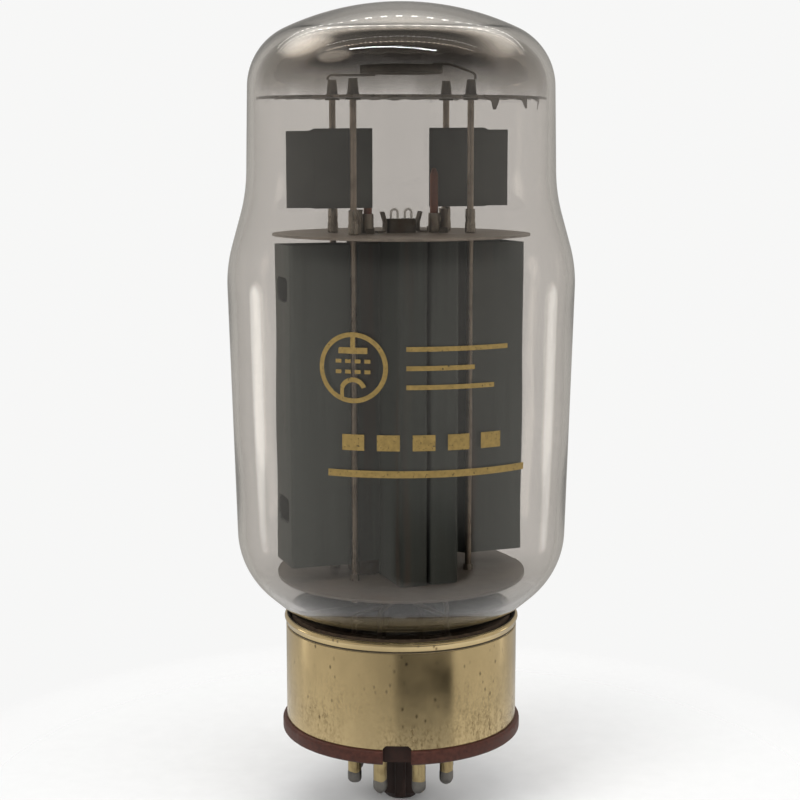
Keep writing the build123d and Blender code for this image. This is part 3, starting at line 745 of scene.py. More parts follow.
def bulb_outline(glass):
    """Outside of the bulb from its crown to the foot of its neck, as (radius, height)."""
    low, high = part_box("glass_bulb")
    crown_centre = high.z - glass.crown_radius
    belly_radius = high.x
    foot = Vector((glass.dome_foot_radius, glass.dome_foot_height))
    reach = math.sqrt(glass.crown_radius**2 - glass.dome_radius**2)
    corner = Vector((glass.dome_radius, crown_centre + reach))
    up = (corner - foot).normalized()
    inward = Vector((-up.y, up.x))
    start = foot + inward * glass.crown_corner - Vector((0, crown_centre))
    along = start.dot(up)
    gap = start.length_squared - (glass.crown_radius - glass.crown_corner) ** 2
    travel = -along + math.sqrt(along**2 - gap)
    centre = foot + inward * glass.crown_corner + up * travel
    lean = math.atan2(centre.x, centre.y - crown_centre)
    steps = 26
    points = []
    for step in range(steps):
        angle = lean * step / steps
        points.append(Vector((glass.crown_radius * math.sin(angle),
                              crown_centre + glass.crown_radius * math.cos(angle))))
    final = math.atan2(-inward.x, -inward.y)
    for step in range(steps + 1):
        angle = lean + (final - lean) * step / steps
        points.append(centre + Vector((math.sin(angle), math.cos(angle))) * glass.crown_corner)
    side = [
        points[-1],
        foot,
        (belly_radius, glass.belly_top_height),
        (glass.belly_foot_radius, glass.belly_foot_height),
        (glass.neck_radius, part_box("base_shell")[1].z),
        (glass.neck_radius, low.z),
    ]
    rounds = [glass.dome_round, glass.belly_round, glass.foot_round, glass.neck_round]
    flat = [Vector((x, z, 0)) for x, z in side]
    lower = divided(rounded(flat, rounds, 18), 2.5 * MM)
    return points + [Vector((point.x, point.y)) for point in lower[1:]]


def inset(outline, depth):
    """An outline moved inward, as deep as depth gives for each height."""
    moved = []
    for index, (point, heading) in enumerate(zip(outline, headings(outline))):
        inward = Vector((heading.y, -heading.x)) if index else Vector((0, -1))
        spot = point + inward * depth(point.y)
        moved.append(Vector((max(spot.x, 0.0), spot.y)))
    moved[0].x = 0.0
    return moved


def radius_at(outline, height):
    """Radius of the glass at a height."""
    for upper, lower in zip(outline, outline[1:]):
        if upper.y >= height >= lower.y and upper.y > lower.y:
            share = (upper.y - height) / (upper.y - lower.y)
            return upper.x + share * (lower.x - upper.x)
    raise ValueError("the height lies beyond the glass")


class TUBE_OT_bulb(Operator):
    """Blow the glass bulb with its real wall"""

    bl_idname = "tube.bulb"
    bl_label = "Glass bulb"

    def execute(self, context):
        glass = context.scene.tube_glass
        outer = bulb_outline(glass)
        inner = inset(outer, lambda height: glass.wall * (1 + 0.10 * math.sin(height * 210)))
        inner[-1].y = outer[-1].y
        mesh = lathe([*outer, *reversed(inner)], glass.segments)
        material = bulb_glass_finish(glass)
        piece("bulb_glass", mesh, material, ["glass_bulb"])
        return {"FINISHED"}


class TUBE_OT_getter_film(Operator):
    """Lay the silvery getter deposit inside the dome"""

    bl_idname = "tube.getter_film"
    bl_label = "Getter deposit"

    def execute(self, context):
        glass = context.scene.tube_glass
        inner = inset(bulb_outline(glass), lambda height: glass.wall * 1.14 + 0.03 * MM)
        line = [point for point in inner if point.y > glass.film_edge - 4 * MM]
        piece("getter_film", lathe(line, glass.segments), film_finish(glass))
        return {"FINISHED"}


class TUBE_OT_stem(Operator):
    """Finish the pressed stem and the sealed pumping tube"""

    bl_idname = "tube.stem"
    bl_label = "Stem"

    def execute(self, context):
        dress(["glass_stem", "exhaust_tube"], stem_glass_finish())
        return {"FINISHED"}


# ---- base ----


def shell_section(base):
    """Section of the brass shell: plain wall, groove and rolled bead, as (radius, height)."""
    low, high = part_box("base_shell")
    bead = base.bead_radius
    outside = high.x - bead / 2
    groove = high.z - base.groove_drop
    bore = outside - base.shell_wall
    section = [(bore, low.z), (outside - 0.1 * MM, low.z), (outside, low.z + 0.1 * MM)]
    section += [(outside, low.z + share * (groove - low.z - base.groove_radius))
                for share in (0.3, 0.6, 0.9)]
    for step in range(9):
        angle = math.pi * step / 8
        section.append((outside - base.groove_radius * math.sin(angle),
                        groove - base.groove_radius * math.cos(angle)))
    middle = (outside - bead / 2, high.z - bead)
    for step in range(19):
        angle = math.radians(-42 + 222 * step / 18)
        section.append((middle[0] + bead * math.cos(angle), middle[1] + bead * math.sin(angle)))
    section.append((bore, middle[1]))
    return section


def notch_outline(width, top, low):
    """The index notch seen from the front, with cut upper corners."""
    half = width / 2
    clip = 0.5 * MM
    return [(-half, low), (half, low), (half, top - clip), (half - clip, top),
            (clip - half, top), (-half, top - clip)]


def notch_cutter(width, depth, rim, low, high):
    """A block through the rim at the key."""
    mesh = slab(notch_outline(width, high, low), 0, depth * 2)
    bmesh.ops.rotate(mesh, verts=mesh.verts, matrix=Matrix.Rotation(math.pi / 2, 3, "X"))
    bmesh.ops.translate(mesh, verts=mesh.verts, vec=(0, -(rim - depth), 0))
    return plain_object("cutter", mesh)


class TUBE_OT_shell(Operator):
    """Spin the brass shell with its bead, groove and index notch"""

    bl_idname = "tube.shell"
    bl_label = "Brass shell"

    def execute(self, context):
        base = context.scene.tube_base
        low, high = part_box("base_shell")
        shell = plain_object("brass_shell", lathe(shell_section(base), 160, closed=True))
        notch = notch_cutter(base.notch_width, 3 * MM, high.x, low.z - MM, low.z + 0.8 * MM)
        cut(shell, [notch])
        finished(shell, shell_finish(base), ["base_shell"])
        return {"FINISHED"}


def disc_section(base):
    """Section of the moulded disc with its hollow spigot, as (radius, height)."""
    low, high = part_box("base_wafer")
    rim = high.x
    edge = base.disc_round
    outline = [(0, low.z), (base.spigot_radius - base.spigot_chamfer, low.z),
               (base.spigot_radius, low.z + base.spigot_chamfer), (base.spigot_radius, 0),
               (rim, 0), (rim, base.disc_thickness), (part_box("base_shell")[1].x - 1.1 * MM,
                                                      base.disc_thickness)]
    rounds = [0.3 * MM, 0.5 * MM, 0.5 * MM, edge, edge]
    path = rounded([(x, z, 0) for x, z in outline], rounds, 5)
    path.append(Vector((path[-1].x, high.z, 0)))
    path.append(Vector((0, high.z, 0)))
    return [(point.x, point.y) for point in path]


class TUBE_OT_disc(Operator):
    """Mould the disc with its keyed spigot and index notch"""

    bl_idname = "tube.disc"
    bl_label = "Disc and spigot"

    def execute(self, context):
        base = context.scene.tube_base
        low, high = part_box("base_wafer")
        disc = plain_object("base_disc", lathe(disc_section(base), 160))
        cutters = [notch_cutter(base.notch_width, base.notch_depth, high.x, -MM, high.z + MM)]
        for number in range(1, 9):
            place = node_middle(f"base_pin_{number}")
            hole = [(0, -MM), (PIN_HOLE, -MM), (PIN_HOLE, high.z + MM), (0, high.z + MM)]
            cutters.append(plain_object("cutter", lathe(hole, 32, centre=(place.x, place.y))))
        cut(disc, cutters)
        material = phenolic_finish(base)
        half = base.key_width / 2
        front = -(base.spigot_radius + base.key_height)
        corners = [(-half, -base.spigot_radius * 0.8, 0), (-half, front, 0), (half, front, 0),
                   (half, -base.spigot_radius * 0.8, 0)]
        outline = [(point.x, point.y) for point in rounded(corners, 0.42 * MM, 5)]
        key = slab(outline, low.z + 1.2 * MM, 0.4 * MM)
        for vertex in key.verts:
            if vertex.co.z < -5 * MM:
                vertex.co.y += max(0.0, -vertex.co.y - base.spigot_radius) * 0.45
        whole = bmesh.new()
        whole.from_mesh(disc.data)
        bpy.data.objects.remove(disc)
        piece("base_disc", joined([whole, key]), material, ["base_wafer"])
        return {"FINISHED"}


class TUBE_OT_cement(Operator):
    """Fill the ring of cement between neck and shell"""

    bl_idname = "tube.cement"
    bl_label = "Cement"

    def execute(self, context):
        glass = context.scene.tube_glass
        low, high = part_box("base_cement")
        inner = glass.neck_radius - CEMENT_LAP
        outer = high.x - 0.02 * MM
        edge = high.z - 0.5 * MM
        crest = high.z + CEMENT_CLIMB
        glass_line = bulb_outline(glass)
        section = [(inner, low.z), (outer, low.z), (outer, edge)]
        for share in (0.25, 0.5, 0.75, 1.0):
            height = edge + (crest - edge) * share**2
            section.append((outer + (radius_at(glass_line, crest) - outer) * share, height))
        section += [(radius_at(glass_line, height) - CEMENT_LAP, height)
                    for height in (crest - 0.6 * MM, edge)]
        mesh = lathe(section, 160, closed=True)
        for vertex in mesh.verts:
            if vertex.co.z > edge - 0.1 * MM:
                vertex.co.z += noise.noise(vertex.co * 900) * 0.16 * MM
        piece("cement_ring", mesh, cement_finish(), ["base_cement"])
        return {"FINISHED"}


class TUBE_OT_pins(Operator):
    """Turn the eight pins and their solder tips"""

    bl_idname = "tube.pins"
    bl_label = "Pins and solder"

    def execute(self, context):
        base = context.scene.tube_base
        brass = metal_finish("pin_brass", base.pin_brass, (0.16, 0.11, 0.05), 0.32, 1300)
        tin = metal_finish("dull_solder", (0.20, 0.19, 0.175), (0.045, 0.042, 0.038), 0.45, 1500,
                           (1, 1, 1), 0.5)
        drops = []
        solder_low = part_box("pin_solder")[0].z
        wobble = random.Random(11)
        for number in range(1, 9):
            low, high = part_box(f"base_pin_{number}")
            x, y = node_middle(f"base_pin_{number}").xy
            radius = PIN_RADIUS
            section = [(PIN_BORE, low.z + 0.25 * MM)]
            for step in range(9):
                angle = math.radians(20 + 70 * step / 8)
                section.append((radius * math.sin(angle), low.z + radius * (1 - math.cos(angle))))
            section += [(radius, -0.25 * MM), (1.24 * MM, 0.0), (PIN_COLLAR, 0.2 * MM),
                        (PIN_COLLAR, PIN_HEAD_FOOT), (PIN_HEAD, PIN_HEAD_FOOT),
                        (PIN_HEAD, high.z), (PIN_BORE, high.z)]
            mesh = lathe(section, 40, closed=True, centre=(x, y))
            piece(f"pin_{number}", mesh, brass, [f"base_pin_{number}"])
            drop = [(0, low.z - SOLDER_SKIN)]
            climb = wobble.uniform(0.9, 1.3) * MM
            for step in range(1, 13):
                angle = math.radians(90 * step / 12)
                drop.append(((radius + SOLDER_SKIN) * math.sin(angle),
                             low.z - SOLDER_SKIN + radius * (1 - math.cos(angle))))
            drop += [(radius + SOLDER_SKIN, low.z + radius + climb * 0.6),
                     (radius + 0.01 * MM, low.z + radius + climb)]
            drops.append(lathe(drop, 32, centre=(x, y)))
        mesh = joined(drops)
        for vertex in mesh.verts:
            vertex.co.z = max(vertex.co.z + noise.noise(vertex.co * 700) * 0.35 * MM, solder_low)
        piece("solder_tips", mesh, tin, ["pin_solder"])
        return {"FINISHED"}


# ---- cage ----


def toothed_disc(settings, low, high, radius):
    """A thin disc with a ring of teeth, some of them bent down by the glass."""
    count = settings.teeth
    root = radius - settings.tooth_depth
    pitch = 2 * math.pi / count
    bends = random.Random(5)
    mesh = bmesh.new()
    sides = []
    for height in (high, low):
        centre = mesh.verts.new((0, 0, height))
        roots = []
        for step in range(count * 2):
            angle = pitch * (step - 1) / 2
            roots.append(mesh.verts.new((root * math.cos(angle), root * math.sin(angle), height)))
        for first, second in zip(roots, roots[1:] + roots[:1]):
            mesh.faces.new((centre, first, second))
        sides.append(roots)
    for step in range(count):
        angle = pitch * step
        facing = math.degrees(angle + cage_angle()) % 360
        droop = bends.uniform(0.0, 0.10)
        slim = 1.0
        if 298 < facing < 356 and step % 2 == 0:
            droop = bends.uniform(0.9, 1.25)
            slim = 0.7
        rows = []
        for roots, height in zip(sides, (high, low)):
            foot = [roots[(2 * step) % len(roots)], roots[(2 * step + 1) % len(roots)],
                    roots[(2 * step + 2) % len(roots)]]
            tips = [foot]
            for share, narrow in ((0.5, 0.66), (1.0, 0.26)):
                line = []
                for edge in (-0.5, 0.0, 0.5):
                    spread = angle + pitch * edge * narrow * slim
                    reach = settings.tooth_depth * share * math.cos(droop * share)
                    fall = settings.tooth_depth * share * math.sin(droop * share)
                    line.append(mesh.verts.new(((root + reach) * math.cos(spread),
                                                (root + reach) * math.sin(spread), height - fall)))
                tips.append(line)
            rows.append(tips)
        for tips in rows:
            for near, far in zip(tips, tips[1:]):
                for edge in (0, 1):
                    mesh.faces.new((near[edge], far[edge], far[edge + 1], near[edge + 1]))
        upper, lower = rows
        for near in (0, 1):
            for edge in (0, 2):
                mesh.faces.new((upper[near][edge], upper[near + 1][edge],
                                lower[near + 1][edge], lower[near][edge]))
        for edge in (0, 1):
            mesh.faces.new((upper[2][edge], upper[2][edge + 1], lower[2][edge + 1], lower[2][edge]))
    return outward(mesh)


def rod_cutters(low, high, radius):
    """Cutters for the holes of the four rods."""
    cutters = []
    for name in rod_names():
        place = node_middle(name)
        hole = [(0, low), (radius, low), (radius, high), (0, high)]
        cutters.append(plain_object("cutter", lathe(hole, 24, centre=(place.x, place.y))))
    return cutters


class TUBE_OT_micas(Operator):
    """Cut the three micas"""

    bl_idname = "tube.micas"
    bl_label = "Micas"

    def execute(self, context):
        cage = context.scene.tube_cage
        mica = tuple(cage.mica)
        dress(["top_mica"], mica_finish("top_mica", mica))
        # The bottom mica takes the mica tone at 0.45, darker than the top mica.
        dress(["bottom_mica"], mica_finish("darker_bottom_mica", shade(mica, 0.45)))
        low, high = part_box("dome_mica")
        mesh = turned(toothed_disc(cage, low.z, high.z, high.x), cage_angle())
        disc = plain_object("dome_mica_disc", mesh)
        cut(disc, rod_cutters(low.z - MM, high.z + MM, ROD_HOLE))
        finished(disc, mica_finish("browned_mica", shade(mica, 0.45)), ["dome_mica"])
        return {"FINISHED"}


def bar_section(low, high, radius, tip):
    """Section of a round bar with eased ends, as (radius, height)."""
    return [(0, low), (radius - tip, low), (radius, low + tip), (radius, high - tip),
            (radius - tip, high), (0, high)]


def ring_section(low, high, inside, foot, top):
    """Section of a sleeve that tapers from foot to top."""
    ease = 0.12 * (high - low)
    return [(inside, low), (foot - ease * 0.4, low), (foot, low + ease * 0.4),
            (foot + (top - foot) * 0.85, high - ease), (top, high - ease * 0.3),
            (top - 0.05 * MM, high), (inside, high)]


class TUBE_OT_rods(Operator):
    """Draw the support rods with their eyelets, washers, sleeves and collars"""

    bl_idname = "tube.rods"
    bl_label = "Support rods"

    def execute(self, context):
        cage = context.scene.tube_cage
        steel = metal_finish("drawn_steel", cage.rod_steel, (0.15, 0.115, 0.085), 0.28, 1200)
        dull = metal_finish("eyelet_nickel", shade(cage.nickel, 0.45), (0.08, 0.06, 0.045), 0.40,
                            1500)
        bright = metal_finish("sleeve_nickel", shade(cage.nickel, 0.95), (0.12, 0.09, 0.07), 0.26,
                              1500)
        fittings = {
            "rod_eyelets_dome": ("eyelets", 0.95 * MM, 0.70 * MM),
            "rod_washers_dome": ("washers", 1.25 * MM, 1.20 * MM),
            "rod_sleeves_top": ("sleeves", 0.92 * MM, 0.80 * MM),
            "rod_collars_bottom": ("collars", 0.86 * MM, 0.80 * MM),
        }
        bore = FITTING_BORE
        places = [node_middle(name).xy for name in rod_names()]
        for name, place in zip(rod_names(), places):
            low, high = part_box(name)
            section = bar_section(low.z, high.z, (high.x - low.x) / 2, 0.12 * MM)
            piece(name.replace("support_rod", "rod"), lathe(section, 28, centre=place), steel,
                  [name])
        for node, (name, foot, top) in fittings.items():
            low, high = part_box(node)
            section = ring_section(low.z, high.z, bore, foot, top)
            if name == "eyelets":
                section = [(bore, low.z), (1.1 * MM, low.z), (1.1 * MM, low.z + 0.28 * MM),
                           (foot, low.z + 0.36 * MM), *section[3:]]
            if name == "sleeves":
                middle = (low.z + high.z) / 2
                pinch = [(foot * 0.97, middle - 0.5 * MM), (foot * 0.86, middle),
                         (foot * 0.93, middle + 0.5 * MM)]
                section = section[:3] + pinch + section[3:]
            rings = [lathe(section, 28, closed=True, centre=place) for place in places]
            nickel = dull if name in ("eyelets", "washers") else bright
            piece(f"rod_{name}", joined(rings), nickel, [node])
        return {"FINISHED"}


def anode_plan(cage, side, low, high):
    """Plan line of one anode sheet, from the front slit round the end to the rear slit."""
    half = cage.anode_sheet / 2
    lip = cage.ridge_seam / 2 + half
    ridge = high.y - half
    reach = (high.x if side > 0 else -low.x) - half
    front = [
        (lip, cage.ridge_lip - ridge), (lip, -ridge), (cage.ridge_half, -ridge),
        (cage.ridge_half, -cage.anode_floor), (cage.anode_step, -cage.anode_floor),
        (cage.anode_step + 0.7 * MM, -cage.anode_wing), (reach, -cage.anode_wing),
    ]
    rear = [(x, -y) for x, y in reversed(front)]
    line = [(side * x, y, 0) for x, y in front + rear]
    return divided(rounded(line, cage.anode_bend, 6), 1.5 * MM)


def window_cutter(cage, x, height):
    """A rounded block through an end face."""
    width, tall, corner = cage.window_width / 2, cage.window_height / 2, cage.window_round
    outline = []
    for centre_y, centre_z, start in ((1, 1, 0), (-1, 1, 90), (-1, -1, 180), (1, -1, 270)):
        for step in range(7):
            angle = math.radians(start + 15 * step)
            outline.append((centre_y * (width - corner) + corner * math.cos(angle),
                            centre_z * (tall - corner) + corner * math.sin(angle)))
    mesh = bmesh.new()
    loft(mesh, [[mesh.verts.new((x + reach, y, height + z)) for y, z in outline]
                for reach in (-1.5 * MM, 1.5 * MM)])
    return plain_object("cutter", turned(outward(mesh), cage_angle()))


class TUBE_OT_anode(Operator):
    """Fold the two anode sheets"""

    bl_idname = "tube.anode"
    bl_label = "Anode"

    def execute(self, context):
        cage = context.scene.tube_cage
        material = anode_finish(cage)
        rod_side = cage_box("rod_collars_bottom")
        for side, name in ((-1, "left"), (1, "right")):
            low, high = cage_box(f"anode_{name}")
            line = anode_plan(cage, side, low, high)
            foot = rod_side[1].z + 1.7 * MM
            top = high.z - 1.15 * MM
            inside = cage.ridge_half + cage.anode_sheet
            lows = [low.z if abs(place.x) < inside else foot for place in line]
            highs = [high.z if abs(place.x) < inside else top for place in line]
            mesh = turned(sheet(line, cage.anode_sheet, lows, highs, 24, 0.10 * MM), cage_angle())
            anode = plain_object(f"anode_sheet_{name}", mesh)
            end = high.x if side > 0 else low.x
            heights = (foot + cage.window_rise, top - cage.window_drop)
            cut(anode, [window_cutter(cage, end, height) for height in heights])
            finished(anode, material, [f"anode_{name}"])
        return {"FINISHED"}


class TUBE_OT_fins(Operator):
    """Bend the two cooling fins"""

    bl_idname = "tube.fins"
    bl_label = "Cooling fins"

    def execute(self, context):
        cage = context.scene.tube_cage
        material = fin_finish(cage)
        for side, name in ((-1, "left"), (1, "right")):
            low, high = cage_box(f"grid_fin_{name}")
            near = high.y - FIN_HALF if side < 0 else low.y + FIN_HALF
            far = low.y + FIN_HALF if side < 0 else high.y - FIN_HALF
            start, end = (high.x, low.x) if side < 0 else (low.x, high.x)
            crease = start + side * cage.fin_crease
            corners = [(start, near, 0), (crease, near, 0), (end, far, 0)]
            line = divided(rounded(corners, 0.4 * MM, 4), 0.9 * MM)
            flap = [abs(place.x) > abs(crease) + 0.05 * MM for place in line]
            lows = [low.z + (0.12 * MM if folded else 0.0) for folded in flap]
            highs = [high.z - (0.35 * MM if folded else 0.0) for folded in flap]
            mesh = sheet(line, 2 * FIN_HALF, lows, highs, 14, 0.10 * MM)
            piece(f"fin_{name}", turned(mesh, cage_angle()), material,
                  [f"grid_fin_{name}"])
        return {"FINISHED"}


class TUBE_OT_grids(Operator):
    """Finish the grid rods, their collars and the windings"""

    bl_idname = "tube.grids"
    bl_label = "Grids"

    def execute(self, context):
        cage = context.scene.tube_cage
        copper = metal_finish("oxidised_copper", cage.copper, (0.14, 0.06, 0.045), 0.38, 1100)
        nickel = metal_finish("grid_nickel", cage.nickel, (0.17, 0.13, 0.10), 0.34, 1400)
        fine = metal_finish("fine_wire", (0.26, 0.25, 0.24), (0.12, 0.11, 0.10), 0.4, 2000)
        for side in ("left", "right"):
            node = f"control_grid_rod_{side}"
            low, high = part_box(node)
            radius = (high.x - low.x) / 2
            section = [(0, low.z), (radius - 0.1 * MM, low.z), (radius, low.z + 0.1 * MM),
                       (radius, high.z - 1.2 * MM), (radius * 0.8, high.z - 0.7 * MM),
                       (radius * 0.42, high.z - 0.1 * MM), (0, high.z)]
            piece(f"copper_rod_{side}", lathe(section, 28, centre=node_middle(node).xy), copper,
                  [node])
        low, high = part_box("control_rod_collars")
        section = ring_section(low.z, high.z, 0.72 * MM, 1.02 * MM, 0.95 * MM)
        rings = [lathe(section, 28, closed=True, centre=node_middle(f"control_grid_rod_{side}").xy)
                 for side in ("left", "right")]
        piece("copper_rod_collars", joined(rings), nickel,
              ["control_rod_collars"])
        dress(["screen_grid_rod_left", "screen_grid_rod_right"], nickel)
        dress(["control_grid_winding", "screen_grid_winding"], fine)
        self.crimped_sleeves(nickel)
        return {"FINISHED"}

    def crimped_sleeves(self, nickel):
        """The flattened sleeves on the screen grid rods, flared at the top."""
        low, high = cage_box("screen_rod_sleeves")
        sleeves = []
        turn = Matrix.Rotation(-cage_angle(), 3, "Z")
        for side in ("left", "right"):
            centre = turn @ node_middle(f"screen_grid_rod_{side}")
            rows = 18
            mesh = bmesh.new()
            rings = []
            for row in range(rows + 1):
                share = row / rows
                height = low.z + (high.z - low.z) * share
                pinch = 0.5 + 0.5 * math.cos(2 * math.pi * (share * 2.5))
                wide = (high.y - low.y) / 2 * (0.80 + 0.20 * share**3)
                deep = (0.62 + 0.14 * pinch + 0.15 * share**4) * MM
                ring = []
                for step in range(32):
                    angle = 2 * math.pi * step / 32
                    fold = 1 - 0.35 * abs(math.sin(angle)) * pinch
                    ring.append(mesh.verts.new((centre.x + deep * math.cos(angle) * fold,
                                                centre.y + wide * math.sin(angle), height)))
                rings.append(ring)
            loft(mesh, rings)
            sleeves.append(outward(mesh))
        piece("crimped_sleeves", turned(joined(sleeves), cage_angle()), nickel,
              ["screen_rod_sleeves"])


def strip(points, thickness, width):
    """A bent strip in the cage's X and Z, as wide as width along Y."""
    path = rounded([(x, z, 0) for x, z in points], 0.5 * MM, 6)
    mesh = bmesh.new()
    rings = []
    for place, heading in zip(path, headings(path)):
        normal = Vector((heading.y, -heading.x, 0)) * thickness / 2
        rings.append([
            mesh.verts.new((place.x + normal.x * face, edge * width / 2, place.y + normal.y * face))
            for face, edge in ((1, 1), (1, -1), (-1, -1), (-1, 1))
        ])
    loft(mesh, rings)
    return outward(mesh)


class TUBE_OT_cathode(Operator):
    """Finish the cathode, its clips, the heater and the beam plates"""

    bl_idname = "tube.cathode"
    bl_label = "Cathode"

    def execute(self, context):
        cage = context.scene.tube_cage
        brown = metal_finish("heated_nickel", shade(cage.nickel, 0.42), (0.10, 0.06, 0.035), 0.48,
                             1200)
        dark = metal_finish("dark_nickel", shade(cage.nickel, 0.5), (0.05, 0.045, 0.04), 0.4, 1300)
        dress(["cathode_sleeve"], brown)
        dress(["heater"], heater_finish())
        dress(["beam_plate_left", "beam_plate_right"], brown)
        low, high = cage_box("cathode_clips")
        sleeve = cage_box("cathode_sleeve")
        clips = []
        for side in (-1, 1):
            foot = side * (sleeve[1].x + 0.35 * MM)
            end = high.x if side > 0 else low.x
            points = [(end, low.z + 0.2 * MM), (foot, low.z + 0.2 * MM),
                      (foot, (low.z + high.z) / 2), (foot + side * 0.5 * MM, high.z - 0.15 * MM)]
            clips.append(strip(points, 0.3 * MM, 1.6 * MM))
        piece("cathode_strips", turned(joined(clips), cage_angle()), dark,
              ["cathode_clips"])
        return {"FINISHED"}


class TUBE_OT_getter(Operator):
    """Form the getter ring and finish its two wires"""

    bl_idname = "tube.getter"
    bl_label = "Getter"

    def execute(self, context):
        cage = context.scene.tube_cage
        material = metal_finish("heat_stained", shade(cage.nickel, 0.5), (0.09, 0.055, 0.045), 0.4,
                                1300, (1, 1, 1))
        low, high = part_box("getter_ring")
        outside = high.x
        inside = outside - GETTER_WIDTH
        wall = GETTER_WALL
        corners = [
            (inside, high.z, 0), (inside, low.z, 0), (outside, low.z, 0), (outside, high.z, 0),
            (outside - wall, high.z, 0), (outside - wall, low.z + wall, 0),
            (inside + wall, low.z + wall, 0), (inside + wall, high.z, 0),
        ]
        rounds = [0.35 * MM, 0.35 * MM, 0.04 * MM, 0.04 * MM, 0.16 * MM, 0.16 * MM]
        section = [(point.x, point.y) for point in rounded(corners, rounds, 4)]
        piece("getter_channel", lathe(section, 96, closed=True), material,
              ["getter_ring"])
        dress(["getter_support_left", "getter_support_right"], material)
        return {"FINISHED"}


class TUBE_OT_leads(Operator):
    """Finish the leads under the cage"""

    bl_idname = "tube.leads"
    bl_label = "Leads"

    def execute(self, context):
        cage = context.scene.tube_cage
        names = [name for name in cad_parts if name.startswith("lead_")]
        dress(names, metal_finish("lead_wire", shade(cage.nickel, 0.85), (0.16, 0.11, 0.08), 0.38,
                                  1200))
        return {"FINISHED"}


# ---- printed mark ----


def stroke(path, width):
    """A flat line of an even width, as pairs of edge points along it."""
    pairs = []
    for place, heading in zip(path, headings(path)):
        across = Vector((-heading.y, heading.x)) * width / 2
        pairs.append((place + across, place - across))
    return pairs


def ring_path(centre, radius, start=0, end=360):
    """An arc as a path."""
    steps = max(8, int((end - start) / 6))
    return [centre + radius * Vector((math.cos(math.radians(start + (end - start) * step / steps)),
                                      math.sin(math.radians(start + (end - start) * step / steps))))
            for step in range(steps + 1)]


def line_path(start, end):
    """A straight path with close points, so that it follows the glass."""
    start, end = Vector(start), Vector(end)
    steps = max(2, int((end - start).length / MM))
    return [start.lerp(end, step / steps) for step in range(steps + 1)]


def tube_symbol(centre, size, width):
    """The drafting symbol of a beam tube: envelope, anode, grids, cathode."""
    def at(x, y):
        return centre + Vector((x, y)) * size

    lines = [(ring_path(centre, size), width)]
    lines.append((line_path(at(-0.45, 0.52), at(0.45, 0.52)), width * 1.3))
    lines.append((line_path(at(0, 0.52), at(0, 1.0)), width))
    for row in (0.2, -0.12):
        for dash in range(4):
            x = -0.54 + dash * 0.3
            lines.append((line_path(at(x, row), at(x + 0.18, row)), width * 0.8))
    lines.append((ring_path(at(0, -0.72), size * 0.36, 20, 160), width))
    lines.append((line_path(at(-0.34, -0.6), at(-0.34, -0.94)), width * 0.8))
    return lines


class TUBE_OT_mark(Operator):
    """Print the plain schematic symbol and rules on the glass"""

    bl_idname = "tube.mark"
    bl_label = "Printed mark"

    def execute(self, context):
        mark = context.scene.tube_mark
        outline = bulb_outline(context.scene.tube_glass)
        centre = Vector((mark.symbol_shift, mark.height))
        lines = tube_symbol(centre, mark.radius, mark.stroke)
        start = centre.x + mark.radius + 3.2 * MM
        for row, wide in enumerate((17.0, 11.0, 14.5)):
            y = centre.y + (3.0 - 3.0 * row) * MM
            lines.append((line_path((start, y), (start + wide * MM, y)), mark.stroke))
        left = centre.x - mark.radius * 0.35
        for block in range(5):
            x = left + block * 5.6 * MM
            y = centre.y - mark.radius - 6.6 * MM
            lines.append((line_path((x, y), (x + 3.6 * MM, y)), 3.4 * mark.stroke))
        y = centre.y - mark.radius - 11.6 * MM
        lines.append((line_path((left - 2.4 * MM, y), (left + 31.0 * MM, y)), 1.5 * mark.stroke))
        mesh = bmesh.new()
        for path, width in lines:
            rows = []
            for pair in stroke(path, width):
                row = []
                for point in pair:
                    radius = radius_at(outline, point.y) + 0.02 * MM
                    angle = point.x / radius - math.pi / 2
                    row.append(mesh.verts.new((radius * math.cos(angle),
                                               radius * math.sin(angle), point.y)))
                rows.append(row)
            for first, second in zip(rows, rows[1:]):
                mesh.faces.new((first[0], first[1], second[1], second[0]))
        piece("printed_mark", mesh, print_finish(mark))
        return {"FINISHED"}


# ---- stage ----


def soft_lamp(name, place, size, power, shows=True):
    """A soft rectangular lamp aimed at the middle of the tube."""
    light = bpy.data.lights.new(name, "AREA")
    light.shape = "RECTANGLE"
    light.size, light.size_y = size
    light.energy = power
    lamp = bpy.data.objects.new(name, light)
    lamp.location = place
    aim = Vector((0, 0, 0.06)) - Vector(place)
    lamp.rotation_euler = aim.to_track_quat("-Z", "Y").to_euler()
    lamp.visible_glossy = shows
    lamp.visible_transmission = False
    lamp.visible_camera = False
    bpy.context.scene.collection.objects.link(lamp)


